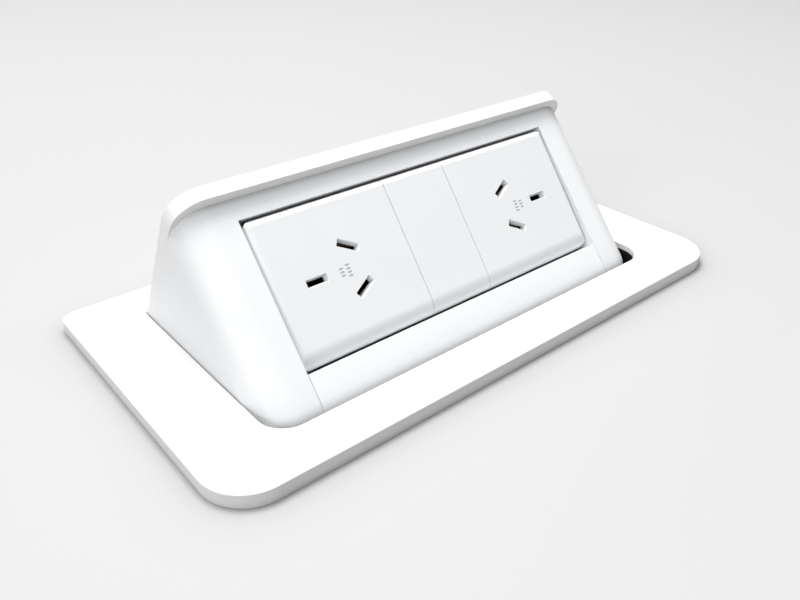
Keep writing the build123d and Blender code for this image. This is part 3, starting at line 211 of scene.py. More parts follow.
class Paint(ShaderTree):
    """A node material under construction, with one shader and one output."""

    def __init__(self, name: str) -> None:
        """Starts an empty material.

        Args:
            name: the finish's name.
        """
        self.material = bpy.data.materials.new(name)
        self.material.use_nodes = True
        super().__init__(self.material.node_tree)
        self.tree.nodes.clear()
        self.shader = self.node("ShaderNodeBsdfPrincipled")
        self.node("ShaderNodeOutputMaterial", None, {"Surface": self.shader.outputs["BSDF"]})
        self.place = self.node("ShaderNodeTexCoord").outputs["Object"]

    def stretched(self, scales: Triple) -> bpy.types.NodeSocket:
        """The object's coordinates, multiplied along each axis.

        Args:
            scales: a factor for each axis.

        Returns:
            The vector's socket.
        """
        node = self.node(
            "ShaderNodeVectorMath", {"operation": "MULTIPLY"}, {0: self.place, 1: scales}
        )
        return node.outputs[0]

    def noise(
        self, size: float, layers: float, place: bpy.types.NodeSocket | None = None
    ) -> Value:
        """Soft noise.

        Args:
            size: the size of its patches in metres.
            layers: how many finer layers it adds.
            place: coordinates other than the object's own.

        Returns:
            A value about the middle of 0 and 1.
        """
        node = self.node(
            "ShaderNodeTexNoise",
            {"noise_dimensions": "3D"},
            {"Vector": place or self.place, "Scale": 1 / size, "Detail": layers},
        )
        return Value(self, node.outputs[0])

    def blend(self, share: Value, first: Triple, second: Triple) -> bpy.types.NodeSocket:
        """A colour between two others.

        Args:
            share: how much of the second colour there is.
            first: the colour at 0.
            second: the colour at 1.

        Returns:
            The colour's socket.
        """
        colours = {MIX_FIRST: (*first, 1.0), MIX_SECOND: (*second, 1.0)}
        node = self.node("ShaderNodeMix", {"data_type": "RGBA"}, {"Factor": share, **colours})
        return node.outputs[MIX_RESULT]

    def bump(self, height: Value, depth: float) -> bpy.types.NodeSocket:
        """A surface's fine relief.

        Args:
            height: the relief from 0 to 1.
            depth: its depth in metres.

        Returns:
            The normal's socket.
        """
        node = self.node("ShaderNodeBump", None, {"Height": height, "Distance": depth})
        return node.outputs[0]

    def openness(self, reach: float, samples: int) -> Value:
        """How open the surface is to the sky: 1 in the open, less beside what stands near.

        Args:
            reach: how near in metres.
            samples: how many ways the surface looks.

        Returns:
            The value.
        """
        node = self.node("ShaderNodeAmbientOcclusion", {"samples": samples}, {"Distance": reach})
        return Value(self, node.outputs["AO"])


def shade_of(colour: Triple, factor: float) -> Triple:
    """A colour, darker or lighter by a factor."""
    return tuple(min(channel * factor, 1.0) for channel in colour)


@dataclass(frozen=True)
class MouldedPlastic:
    """Injection-moulded plastic: a fine eroded grain, faint flow clouds and an uneven gloss."""

    name: str
    colour: Triple
    roughness: float
    grain_size: float = 0.35 * MM
    grain_layers: float = 1.0
    grain_depth: float = 0.004 * MM
    cloud_size: float = 18 * MM
    cloud_layers: float = 3.0
    cloud_strength: float = 0.02
    gloss_change: float = 0.05

    def material(self) -> bpy.types.Material:
        """Builds the finish: clouds in its colour, the grain as relief, and both in its gloss.

        Returns:
            The material.
        """
        paint = Paint(self.name)
        clouds = paint.noise(self.cloud_size, self.cloud_layers)
        grain = paint.noise(self.grain_size, self.grain_layers)
        low = shade_of(self.colour, 1 - self.cloud_strength)
        uneven = (clouds - NOISE_MIDDLE) * self.gloss_change + grain * self.gloss_change
        roughness = uneven + self.roughness
        paint.feed(
            paint.shader,
            {
                "Base Color": paint.blend(clouds, low, self.colour),
                "Roughness": roughness.kept_between(SMOOTHEST, ROUGHEST),
                "Normal": paint.bump(grain, self.grain_depth),
            },
        )
        return paint.material


@dataclass(frozen=True)
class DrawnMetal:
    """Bare or plated metal: streaks along the way that it was drawn, and clouds of dulling."""

    name: str
    colour: Triple
    dull_colour: Triple
    roughness: float
    streak_size: float = 0.12 * MM
    streak_layers: float = 2.0
    streak_stretch: float = 0.04
    streak_depth: float = 0.002 * MM
    streak_roughness: float = 0.18
    dull_size: float = 2.5 * MM
    dull_layers: float = 4.0
    dull_start: float = 0.45
    dull_contrast: float = 4.0
    dull_roughness: float = 0.12

    def material(self) -> bpy.types.Material:
        """Builds the finish: dulling in its colour, the streaks as relief, and both in its gloss.

        Returns:
            The material.
        """
        paint = Paint(self.name)
        drawn = paint.stretched((self.streak_stretch, 1.0, 1.0))
        streaks = paint.noise(self.streak_size, self.streak_layers, drawn)
        clouds = paint.noise(self.dull_size, self.dull_layers)
        dulled = clouds.above(self.dull_start, self.dull_contrast)
        uneven = streaks * self.streak_roughness + dulled * self.dull_roughness
        roughness = uneven + self.roughness
        paint.feed(
            paint.shader,
            {
                "Base Color": paint.blend(dulled, self.colour, self.dull_colour),
                "Metallic": 1.0,
                "Roughness": roughness.kept_between(SMOOTHEST, ROUGHEST),
                "Normal": paint.bump(streaks, self.streak_depth),
            },
        )
        return paint.material


@dataclass(frozen=True)
class SoftRubber:
    """Matt rubber with a fine bloom."""

    name: str
    colour: Triple
    bloom_colour: Triple
    roughness: float = 0.75
    specular: float = 0.3
    grain_size: float = 0.25 * MM
    grain_layers: float = 2.0
    grain_depth: float = 0.01 * MM
    bloom_size: float = 6 * MM
    bloom_layers: float = 4.0
    bloom_start: float = 0.4
    bloom_contrast: float = 2.0
    bloom_roughness: float = 0.15

    def material(self) -> bpy.types.Material:
        """Builds the finish: the bloom in its colour and gloss, and the grain as relief.

        Returns:
            The material.
        """
        paint = Paint(self.name)
        grain = paint.noise(self.grain_size, self.grain_layers)
        clouds = paint.noise(self.bloom_size, self.bloom_layers)
        bloom = clouds.above(self.bloom_start, self.bloom_contrast)
        paint.feed(
            paint.shader,
            {
                "Base Color": paint.blend(bloom, self.colour, self.bloom_colour),
                "Roughness": bloom * self.bloom_roughness + self.roughness,
                "Normal": paint.bump(grain, self.grain_depth),
                "Specular IOR Level": self.specular,
            },
        )
        return paint.material


@dataclass(frozen=True)
class PadPrint:
    """Ink pad-printed on plastic: matt, and a little thin in places."""

    name: str
    colour: Triple
    thin_colour: Triple
    roughness: float = 0.6
    speckle_size: float = 0.12 * MM
    speckle_layers: float = 2.0
    thin_start: float = 0.5
    thin_contrast: float = 5.0
    thin_roughness: float = -0.1

    def material(self) -> bpy.types.Material:
        """Builds the finish: speckles where the ink is thin, paler and a little smoother.

        Returns:
            The material.
        """
        paint = Paint(self.name)
        speckle = paint.noise(self.speckle_size, self.speckle_layers)
        thin = speckle.above(self.thin_start, self.thin_contrast)
        paint.feed(
            paint.shader,
            {
                "Base Color": paint.blend(thin, self.colour, self.thin_colour),
                "Roughness": thin * self.thin_roughness + self.roughness,
            },
        )
        return paint.material


@dataclass(frozen=True)
class PaintedBoard:
    """The studio's desk top: a smooth pale board, with painted shade beside what lies on it."""

    name: str
    colour: Triple
    # The colour of the painted shade, which is darkest right beside what stands on the board.
    corner_colour: Triple
    roughness: float = 0.6
    specular: float = 0.2
    # How far and how finely the painted shade looks for what stands near, and the power that
    # shapes it.
    corner_reach: float = 20 * MM
    corner_samples: int = 16
    corner_power: float = 1.2
    cloud_size: float = 120 * MM
    cloud_layers: float = 2.0
    cloud_roughness: float = 0.1

    def material(self) -> bpy.types.Material:
        """Builds the finish: painted shade in its colour where the board is less open, and clouds
        in its gloss.

        Returns:
            The material.
        """
        paint = Paint(self.name)
        clouds = paint.noise(self.cloud_size, self.cloud_layers)
        # Painted shade: ambient occlusion darkens the board's colour beside the plate.
        near = paint.openness(self.corner_reach, self.corner_samples)
        openness = near.to_power(self.corner_power)
        paint.feed(
            paint.shader,
            {
                "Base Color": paint.blend(openness, self.corner_colour, self.colour),
                "Roughness": clouds * self.cloud_roughness + self.roughness,
                "Specular IOR Level": self.specular,
            },
        )
        return paint.material


class Finish(Enum):
    """The finishes, each under the name of its material slot; only the ink has no slot."""

    PLATE_WHITE = MouldedPlastic("plate_white", (0.68, 0.68, 0.68), 0.38)
    LID_WHITE = MouldedPlastic("lid_white", (0.74, 0.74, 0.74), 0.38)
    BODY_WHITE = MouldedPlastic("body_white", (0.737, 0.75, 0.76), 0.45)
    RAIL_WHITE = MouldedPlastic("rail_white", (0.770, 0.785, 0.795), 0.45)
    MODULE_WHITE = MouldedPlastic("module_white", (0.712, 0.725, 0.735), 0.40)
    TUB_CHARCOAL = MouldedPlastic(
        "tub_charcoal", (0.022, 0.022, 0.024), 0.55, grain_size=0.5 * MM, grain_depth=0.03 * MM
    )
    BASE_BLACK = MouldedPlastic("base_black", (0.008, 0.008, 0.009), 0.5)
    CARRIER_GREY = MouldedPlastic("carrier_grey", (0.27, 0.275, 0.28), 0.5)
    NYLON_BLACK = MouldedPlastic(
        "nylon_black", (0.022, 0.022, 0.024), 0.5, grain_size=0.4 * MM, grain_depth=0.02 * MM
    )
    NYLON_GREY = MouldedPlastic("nylon_grey", (0.11, 0.115, 0.12), 0.48)
    ACETAL_NATURAL = MouldedPlastic("acetal_natural", (0.72, 0.70, 0.64), 0.35)
    BLOCK_CREAM = MouldedPlastic("block_cream", (0.62, 0.58, 0.47), 0.5)
    ZINC_STEEL = DrawnMetal("zinc_steel", (0.62, 0.64, 0.67), (0.46, 0.47, 0.48), 0.22)
    PIN_STEEL = DrawnMetal("pin_steel", (0.56, 0.57, 0.58), (0.42, 0.42, 0.43), 0.18)
    BRASS = DrawnMetal("brass", (0.78, 0.58, 0.28), (0.55, 0.38, 0.17), 0.2)
    RUBBER_BLACK = SoftRubber("rubber_black", (0.012, 0.012, 0.013), (0.035, 0.035, 0.036))
    PRINTED_GREY = PadPrint("printed_grey", (0.34, 0.35, 0.36), (0.52, 0.53, 0.54))


class Corner(Enum):
    """How round the edges of a kind of piece are, in metres."""

    MOULDED = 0.30 * MM
    CRISP = 0.16 * MM
    TURNED = 0.12 * MM
    FINE = 0.09 * MM
    STAMPED = 0.08 * MM


class Side(Enum):
    """An end of the socket: its name, which sorts its pieces, and its sign along X."""

    LEFT = -1
    RIGHT = 1

    @property
    def word(self) -> str:
        """The side's name in the names of pieces."""
        return self.name.lower()


def field_corners(rows: int, columns: int, rows_close: bool) -> np.ndarray:
    """The corners of each four-sided field of a grid whose columns go round.

    Args:
        rows: how many rings the grid has.
        columns: how many points each ring has.
        rows_close: whether the last ring joins the first.

    Returns:
        The fields, four point numbers each.
    """
    row, column = np.meshgrid(
        np.arange(rows if rows_close else rows - 1), np.arange(columns), indexing="ij"
    )
    next_row, next_column = (row + 1) % rows, (column + 1) % columns
    corners = [
        row * columns + column,
        next_row * columns + column,
        next_row * columns + next_column,
        row * columns + next_column,
    ]
    return np.stack(corners, axis=-1).reshape(-1, 4)


def skinned(
    name: str, rings: np.ndarray, rings_close: bool, crease: float = CREASE
) -> bpy.types.Object:
    """A closed skin over rings of points, with its faces outwards.

    Neighbouring rings are joined point by point by four-sided fields. Where the last ring doesn't
    join the first, each end ring is filled by one flat face.

    Args:
        name: the piece's name.
        rings: ring by point by coordinate, in metres.
        rings_close: whether the last ring joins the first.
        crease: the angle in degrees above which an edge stays sharp.

    Returns:
        The piece.
    """
    count, around = rings.shape[:2]
    points = rings.reshape(-1, 3)
    faces = field_corners(count, around, rings_close).tolist()
    if not rings_close:
        last = len(points) - 1
        faces += [list(range(around)), list(range(last, last - around, -1))]
    return closed_piece(name, points, faces, crease)


def closed_piece(
    name: str, points: np.ndarray, faces: list[list[int]], crease: float = CREASE
) -> bpy.types.Object:
    """A closed mesh with its faces outwards.

    They face outwards where six times the mesh's volume, the sum of each triangle's first corner
    dotted with the cross product of its other two, is above nothing.

    Args:
        name: the piece's name.
        points: the points in metres.
        faces: the point numbers of each face.
        crease: the angle in degrees above which an edge stays sharp.

    Returns:
        The piece.
    """
    mesh = bpy.data.meshes.new(name)
    mesh.from_pydata(points.tolist(), [], faces)
    mesh.calc_loop_triangles()
    corners = np.empty(len(mesh.loop_triangles) * 3, dtype=np.int32)
    mesh.loop_triangles.foreach_get("vertices", corners)
    middle = points.mean(axis=0)
    first, second, third = (points[corners.reshape(-1, 3)] - middle).transpose(1, 0, 2)
    if np.sum(first * np.cross(second, third)) < 0:
        mesh.flip_normals()
    mesh.shade_smooth()
    mesh.set_sharp_from_angle(angle=math.radians(crease))
    piece = bpy.data.objects.new(name, mesh)
    bpy.context.scene.collection.objects.link(piece)
    return piece


def carried(
    path: np.ndarray, section: np.ndarray, aside: np.ndarray, swell: np.ndarray | None = None
) -> np.ndarray:
    """A flat section carried along a path.

    At each point of the path, the section's first number goes along the direction square to the
    path and to the aside direction, its second along the one square to both, and both are
    multiplied by the swell there.

    Args:
        path: point by coordinate.
        section: point by the two numbers.
        aside: a direction that the path never follows.
        swell: a factor for each point of the path, or None for 1.

    Returns:
        Rings: point of the path by point of the section by coordinate.
    """
    along = np.gradient(path, axis=0)
    along /= np.linalg.norm(along, axis=1, keepdims=True)
    first = np.cross(along, aside)
    first /= np.linalg.norm(first, axis=1, keepdims=True)
    second = np.cross(first, along)
    factors = np.ones(len(path)) if swell is None else swell
    scaled = section[None, :, :] * factors[:, None, None]
    first_part = scaled[..., :1] * first[:, None, :]
    second_part = scaled[..., 1:] * second[:, None, :]
    return path[:, None, :] + first_part + second_part


def circle(radius: float, steps: int) -> np.ndarray:
    """Points round a circle: the radius times the cosine and the sine of even turns."""
    turn = np.linspace(0, TURN, steps, endpoint=False)
    return radius * np.stack([np.cos(turn), np.sin(turn)], axis=-1)


def eased(share: np.ndarray) -> np.ndarray:
    """A gentle rise: 3 t squared less 2 t cubed, where t is the share held in 0 to 1."""
    held = np.clip(share, 0, 1)
    return held * held * (3 - 2 * held)


def soften_edges(node: bpy.types.Object, radius: float) -> None:
    """Rounds the hard edges of a CAD node by modifiers, with its own mesh as it is.

    Args:
        node: the CAD node's object.
        radius: the edges' radius in metres.
    """
    weld = node.modifiers.new("weld", "WELD")
    weld.merge_threshold = WELD_REACH
    flat = node.modifiers.new("flat_faces", "DECIMATE")
    flat.decimate_type = "DISSOLVE"
    flat.angle_limit = math.radians(FLAT_ANGLE)
    bevel = node.modifiers.new("soft_edges", "BEVEL")
    bevel.width = radius
    bevel.segments = EDGE_SEGMENTS
    bevel.limit_method = "ANGLE"
    bevel.angle_limit = math.radians(EDGE_ANGLE)
    bevel.use_clamp_overlap = False
    node.modifiers.new("face_normals", "WEIGHTED_NORMAL")


class Workshop:
    """The finishes, and the way that a piece gets one and joins the model."""

    def __init__(self) -> None:
        """Builds the finishes and reads which one each CAD node has."""
        self.materials = {finish.value.name: finish.value.material() for finish in Finish}
        self.slots = {row["node"]: row["material_slot"] for row in frame["record"]["subparts"]}
        self.undressed = set(frame["nodes"])

    def dress(self, name: str, corner: Corner | None) -> None:
        """Gives a CAD node its finish and soft edges.

        Args:
            name: the node's name.
            corner: how round its edges are, or None where they stay sharp, such as on a node that
                another piece stands for.
        """
        node = frame["nodes"][name]
        for place in node.material_slots:
            place.material = self.materials[self.slots[name]]
        if corner:
            soften_edges(node, corner.value)
        self.undressed.discard(name)
        log.info("dressed %s in %s", name, self.slots[name])

    def add(
        self, piece: bpy.types.Object, finish: Finish, slot: str, stands_for: str = ""
    ) -> None:
        """Gives a new piece its finish and its place in the record.

        Args:
            piece: the new piece.
            finish: its finish.
            slot: the record's material slot; not used.
            stands_for: the CAD node that it replaces, if any.
        """
        piece.data.materials.append(self.materials[finish.value.name])
        if stands_for:
            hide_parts(stands_for)
        log.info("built %s in %s", piece.name, finish.value.name)


@dataclass
class SubAssembly:
    """Pieces that belong together: CAD nodes with their edges, and new pieces beside them."""

    shop: Workshop

    def nodes(self) -> dict[str, Corner | None]:
        """The CAD nodes, each with how round its edges are."""
        return {}

    def details(self) -> None:
        """Builds the new pieces."""

    def build(self) -> None:
        """Dresses the CAD nodes and builds the new pieces."""
        for name, corner in self.nodes().items():
            self.shop.dress(name, corner)
        self.details()


@dataclass
class DeskPlate(SubAssembly):
    """The plate on the desk and the screws that hold the tub below it."""

    def nodes(self) -> dict[str, Corner | None]:
        """The plate, whose rounding is its own, and its screws."""
        return {"bezel_plate": None, "bezel_screws": Corner.STAMPED}


@dataclass
class Tub(SubAssembly):
    """The tub below the desk, its access cover and its rubber stops."""

    def nodes(self) -> dict[str, Corner | None]:
        """The tub, the cover, the cover's screws and the stops."""
        return {
            "tub_housing": Corner.MOULDED,
            "access_cover": Corner.CRISP,
            "access_screws": Corner.STAMPED,
            "stop_pads": Corner.TURNED,
        }


@dataclass
class FlipUnit(SubAssembly):
    """The unit that swings up: the lid, its body, the carrier and the cover behind them."""

    def nodes(self) -> dict[str, Corner | None]:
        """The unit's pieces apart from the outlets."""
        return {
            "lid_cover": Corner.CRISP,
            "lid_screws": Corner.STAMPED,
            "face_frame": Corner.FINE,
            "front_rail": Corner.FINE,
            "module_carrier": Corner.CRISP,
            "carrier_screws": Corner.STAMPED,
            "blank_cover": Corner.FINE,
            "back_cover": Corner.MOULDED,
            "back_cover_screws": Corner.STAMPED,
            "striker": Corner.STAMPED,
            "outlet_terminal_screws": Corner.STAMPED,
        }


@dataclass(frozen=True)
class MarkRow:
    """A row of marks up a cover: its distance from the blank's middle, its ends and its count."""

    across: float
    start: float
    end: float
    count: int


@dataclass
class Outlet(SubAssembly):
    """One outlet: its cover with the printed marks, its base and its contacts.

    The marks are placed from the middle of the face that the covers share, along X, up the face
    and out of it.
    """

    side: Side
    middle: Triple = (0.0, -14.206 * MM, 28.041 * MM)
    upward: Triple = (0.0, 0.6170, 0.7869)
    outward: Triple = (0.0, -0.7869, 0.6170)
    rows: tuple[MarkRow, ...] = (
        MarkRow(36.3 * MM, 1.9 * MM, -2.65 * MM, 4),
        MarkRow(38.75 * MM, 1.35 * MM, -1.95 * MM, 3),
    )
    mark_height: float = 1.5 * MM
    mark_share: float = 0.52
    mark_steps: int = 16
    ink_rise: float = 0.015 * MM
    ink_sink: float = 0.005 * MM

    def nodes(self) -> dict[str, Corner | None]:
        """The cover, the base and the three contacts."""
        word = self.side.word
        return {
            f"{word}_outlet_cover": Corner.FINE,
            f"{word}_outlet_base": Corner.CRISP,
            f"{word}_earth_contact": Corner.STAMPED,
            f"{word}_active_contact": Corner.STAMPED,
            f"{word}_neutral_contact": Corner.STAMPED,
        }

    def row_of_marks(self, row: MarkRow) -> tuple[np.ndarray, np.ndarray]:
        """The middles and the half sizes of one row's marks, across and up the cover.

        The marks are spaced evenly from the row's start to its end, and each is a share of the
        pitch.

        Args:
            row: the row.

        Returns:
            Mark by the two middles, and mark by the two half sizes.
        """
        pitch = (row.end - row.start) / row.count
        up = row.start + pitch * (np.arange(row.count) + 0.5)
        middles = np.stack([np.full(row.count, self.side.value * row.across), up], axis=-1)
        half_size = [self.mark_height / 2, abs(pitch) * self.mark_share / 2]
        return middles, np.tile(half_size, (row.count, 1))

    def marks(self) -> bpy.types.Object:
        """The printed marks: rows of plain bars, each a rounded rectangle raised by the ink.

        A bar's outline is a squared-off ellipse: each half size times the sign of the cosine or
        the sine, times the square root of its size. It is drawn once a hair below the cover's face
        and once above it.

        Returns:
            The piece.
        """
        rows = [self.row_of_marks(row) for row in self.rows]
        middles = np.concatenate([middle for middle, _ in rows])
        halves = np.concatenate([half for _, half in rows])
        turned = circle(1.0, self.mark_steps)
        outline = np.sign(turned) * np.sqrt(np.abs(turned))
        flat = middles[:, None, :] + halves[:, None, :] * outline[None, :, :]
        levels = np.array([-self.ink_sink, self.ink_rise])
        points = (
            np.array(self.middle)
            + flat[:, None, :, :1] * X_AXIS
            + flat[:, None, :, 1:] * np.array(self.upward)
            + levels[None, :, None, None] * np.array(self.outward)
        )
        count, around = len(middles), len(outline)
        fields = field_corners(len(levels), around, rows_close=False)
        lids = np.stack([np.arange(around - 1, -1, -1), np.arange(around, 2 * around)])
        starts = np.arange(count)[:, None, None] * len(levels) * around
        faces = (starts + fields[None]).reshape(-1, 4).tolist()
        faces += (starts + lids[None]).reshape(-1, around).tolist()
        return closed_piece(f"{self.side.word}_outlet_marks", points.reshape(-1, 3), faces)

    def details(self) -> None:
        """Prints the marks on the cover."""
        marks = self.marks()
        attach(marks, "popup")
        self.shop.add(marks, Finish.PRINTED_GREY, "nylon_grey")


@dataclass
class Hinge(SubAssembly):
    """The hinge pins and bushes, and the torsion springs that lift the unit.

    The sizes are those of the right spring, whose coil runs from near_x to far_x, and the left one
    mirrors it.
    """

    axis: Triple = (0.0, 30.6 * MM, -11.5 * MM)
    wire: float = 1.2 * MM
    wire_steps: int = 14
    held_wires: float = 0.6
    coil_radius: float = 4.6 * MM
    near_x: float = 61.8 * MM
    far_x: float = 70.2 * MM
    fixed_leg: float = 11.0 * MM
    moving_leg: float = 20.64 * MM
    leg_steps: int = 8
    whole_turns: int = 6
    start_turn: float = -90.0
    end_turn: float = -102.62
    steps_a_turn: int = 28

    def nodes(self) -> dict[str, Corner | None]:
        """The pins, the bushes, and the springs' plain solids."""
        return {
            "hinge_pin_left": Corner.TURNED,
            "hinge_pin_right": Corner.TURNED,
            "hinge_bush_left": Corner.TURNED,
            "hinge_bush_right": Corner.TURNED,
            "torsion_spring_left": None,
            "torsion_spring_right": None,
        }

    def spring_path(self) -> np.ndarray:
        """The line of the right spring's wire, from its fixed end to its moving end.

        The coil's X grows evenly with its turn, and its Y and Z are the coil's radius times the
        cosine and the sine of the turn. Each leg goes straight on from the coil's end, along its
        tangent.

        Returns:
            Point by coordinate.
        """
        first = math.radians(self.start_turn)
        last = math.radians(self.end_turn - 360 * self.whole_turns)
        turn = np.linspace(first, last, self.whole_turns * self.steps_a_turn)
        x = self.near_x + (self.far_x - self.near_x) * (turn - first) / (last - first)
        y, z = self.coil_radius * np.cos(turn), self.coil_radius * np.sin(turn)
        coil = np.stack([x, y, z], axis=-1)
        tangents = np.array([[0.0, math.sin(end), -math.cos(end)] for end in (first, last)])
        away = np.linspace(1.0, 0.0, self.leg_steps, endpoint=False)[:, None]
        fixed = coil[0] - away * self.fixed_leg * tangents[0]
        moving = coil[-1] + away[::-1] * self.moving_leg * tangents[1]
        return np.concatenate([fixed, coil, moving]) + np.array(self.axis)

    def details(self) -> None:
        """Winds a spring at each end: a circle carried along the wire's line.

        The base holds one leg and the unit the other.
        """
        path = self.spring_path()
        for side in Side:
            line = path * np.array([side.value, 1.0, 1.0])
            wire = circle(self.wire / 2, self.wire_steps)
            rings = carried(line, wire, X_AXIS)
            spring = skinned(f"wound_spring_{side.word}", rings, rings_close=False)
            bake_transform(spring)
            self.shop.add(
                spring, Finish.PIN_STEEL, "pin_steel", f"torsion_spring_{side.word}"
            )


@dataclass
class Damper(SubAssembly):
    """The rotary damper, and the gears that the hinge turns it by."""

    def nodes(self) -> dict[str, Corner | None]:
        """The damper, its pinion, the gear sector and their screws; the teeth stay sharp."""
        return {
            "damper_body": Corner.CRISP,
            "damper_screws": Corner.STAMPED,
            "damper_pinion": None,
            "gear_sector": None,
            "gear_sector_screws": Corner.STAMPED,
        }


@dataclass
class Latch(SubAssembly):
    """The push latch with its magnet and its spring."""

    wire: float = 0.6 * MM
    wire_steps: int = 10
    coil_radius: float = 1.9 * MM
    whole_turns: int = 13
    closed_turns: float = 1.5
    steps_a_turn: int = 20
    press: float = 2.5 * MM

    def nodes(self) -> dict[str, Corner | None]:
        """The latch's pieces, and the spring's plain solid."""
        return {
            "latch_body": Corner.CRISP,
            "latch_screws": Corner.STAMPED,
            "latch_plunger": Corner.TURNED,
            "latch_magnet": Corner.TURNED,
            "latch_spring": None,
        }

    def coil(self, low: np.ndarray, high: np.ndarray) -> np.ndarray:
        """The spring's line, a coil along Y whose end turns lie closed.

        Its X and Z are the coil's radius times the cosine and the sine of the turn. Its Y grows by
        a wire's thickness for each end turn, and evenly over the turns between them.

        Args:
            low: the lowest corner of the spring's box.
            high: the highest corner.

        Returns:
            Point by coordinate.
        """
        middle = (low + high) / 2
        length = high[1] - low[1] - self.wire
        counted = np.linspace(0, self.whole_turns, self.whole_turns * self.steps_a_turn)
        closed = self.closed_turns * self.wire
        rise = np.interp(
            counted,
            [0, self.closed_turns, self.whole_turns - self.closed_turns, self.whole_turns],
            [0, closed, length - closed, length],
        )
        turn = TURN * counted
        return np.stack(
            [
                middle[0] + self.coil_radius * np.cos(turn),
                low[1] + self.wire / 2 + rise,
                middle[2] + self.coil_radius * np.sin(turn),
            ],
            axis=-1,
        )

    def details(self) -> None:
        """Winds the spring that the plunger presses on: a circle carried along the coil, fixed to
        the base.
        """
        low, high = (np.array(corner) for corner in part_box("latch_spring"))
        wire = circle(self.wire / 2, self.wire_steps)
        rings = carried(self.coil(low, high), wire, Y_AXIS)
        spring = skinned("wound_latch_spring", rings, rings_close=False)
        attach(spring, "base")
        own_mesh(spring)
        self.shop.add(spring, Finish.PIN_STEEL, "pin_steel", "latch_spring")


@dataclass
class TerminalBlock(SubAssembly):
    """The terminal block under its shelf."""

    def nodes(self) -> dict[str, Corner | None]:
        """The block, its inserts and its screws."""
        return {
            "terminal_block": Corner.MOULDED,
            "terminal_inserts": Corner.CRISP,
            "terminal_wire_screws": Corner.STAMPED,
            "terminal_fixing_screws": Corner.STAMPED,
        }


@dataclass
class CableGland(SubAssembly):
    """The cable gland in the alcove: its body with a thread, seal, dome nut and lock nut.

    Its axis is upright. The ridge is the thread's, on the body inside the tub.
    """

    middle: Pair = (45.0 * MM, 33.2 * MM)
    top: float = -55.7 * MM
    shoulder: float = -64.4 * MM
    bottom: float = -69.0 * MM
    outer_radius: float = 10.0 * MM
    nose_radius: float = 5.6 * MM
    entry_radius: float = 4.2 * MM
    thread_radius: float = 8.05 * MM
    chamfer: float = 0.45 * MM
    side_steps: int = 16
    dome_steps: int = 12
    nut_crease: float = 50.0
    flutes: int = 16
    flute_depth: float = 0.55 * MM
    flute_power: int = 4
    flute_steps: int = 12
    flute_ends: Pair = (-63.9 * MM, -56.6 * MM)
    flute_runout: float = 0.9 * MM
    ridge_radius: float = 7.95 * MM
    ridge_height: float = 0.25 * MM
    ridge_pitch: float = 1.1 * MM
    ridge_half_share: float = 0.42
    ridge_ends: Pair = (-43.6 * MM, -41.4 * MM)
    ridge_steps_a_turn: int = 48
    ridge_easings: int = 6
    ridge_least: float = 0.02
    ridge_crease: float = 30.0

    def nodes(self) -> dict[str, Corner | None]:
        """The gland's pieces; the dome nut is built anew."""
        return {
            "gland_body": Corner.CRISP,
            "gland_seal": Corner.TURNED,
            "gland_locknut": Corner.CRISP,
            "gland_dome_nut": None,
        }

    def nut_section(self) -> np.ndarray:
        """The dome nut's section.

        It goes over the top, down the side, round the dome, which is a quarter of an ellipse, and
        back up the entry and the threaded bore.

        Returns:
            Point by radius and height.
        """
        side = np.linspace(self.top - self.chamfer, self.shoulder, self.side_steps)
        turn = np.linspace(0, TURN / 4, self.dome_steps)
        swell = self.outer_radius - self.nose_radius
        drop = self.shoulder - self.bottom
        dome = np.stack(
            [self.nose_radius + swell * np.cos(turn), self.shoulder - drop * np.sin(turn)], axis=-1
        )
        return np.concatenate(
            [
                [[self.thread_radius, self.top], [self.outer_radius - self.chamfer, self.top]],
                np.stack([np.full(len(side), self.outer_radius), side], axis=-1),
                dome[1:],
                [
                    [self.entry_radius, self.bottom],
                    [self.entry_radius, self.shoulder],
                    [self.thread_radius, self.shoulder],
                ],
            ]
        )

    def dome_nut(self) -> bpy.types.Object:
        """The dome nut: its section turned round its axis, with grip flutes cut into its side.

        A flute takes from the radius its depth times the fourth power of half of one plus the
        cosine of the flutes' turn, eased to nothing at both ends.

        Returns:
            The piece.
        """
        radius, height = self.nut_section().T
        around = np.linspace(0, TURN, self.flutes * self.flute_steps, endpoint=False)
        low, high = self.flute_ends
        below, above = (high - height) / self.flute_runout, (height - low) / self.flute_runout
        cut = eased(above) * eased(below) * (radius > self.thread_radius)
        groove = (0.5 + 0.5 * np.cos(self.flutes * around)) ** self.flute_power
        reach = radius[:, None] - self.flute_depth * cut[:, None] * groove[None, :]
        rings = np.stack(
            [
                self.middle[0] + reach * np.cos(around),
                self.middle[1] + reach * np.sin(around),
                np.broadcast_to(height[:, None], reach.shape),
            ],
            axis=-1,
        )
        return skinned("fluted_dome_nut", rings, rings_close=True, crease=self.nut_crease)

    def thread(self) -> bpy.types.Object:
        """The thread's ridge: a triangle carried up a coil, eased to nothing at both ends.

        Returns:
            The piece.
        """
        low, high = self.ridge_ends
        turns = (high - low) / self.ridge_pitch
        share = np.linspace(0, 1, int(turns * self.ridge_steps_a_turn))
        turn = TURN * turns * share
        line = np.stack(
            [
                self.middle[0] + self.ridge_radius * np.cos(turn),
                self.middle[1] + self.ridge_radius * np.sin(turn),
                low + (high - low) * share,
            ],
            axis=-1,
        )
        half = self.ridge_pitch * self.ridge_half_share
        section = np.array([[0.0, -half], [self.ridge_height, 0.0], [0.0, half]])
        rise, fall = share * self.ridge_easings, (1 - share) * self.ridge_easings
        swell = np.maximum(eased(rise) * eased(fall), self.ridge_least)
        rings = carried(line, section, Z_AXIS, swell)
        return skinned("gland_thread", rings, rings_close=False, crease=self.ridge_crease)

    def details(self) -> None:
        """Builds the dome nut and the thread."""
        nut = self.dome_nut()
        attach(nut, "base")
        self.shop.add(nut, Finish.NYLON_GREY, "nylon_grey", "gland_dome_nut")
        thread = self.thread()
        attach(thread, "base")
        self.shop.add(thread, Finish.NYLON_GREY, "nylon_grey")


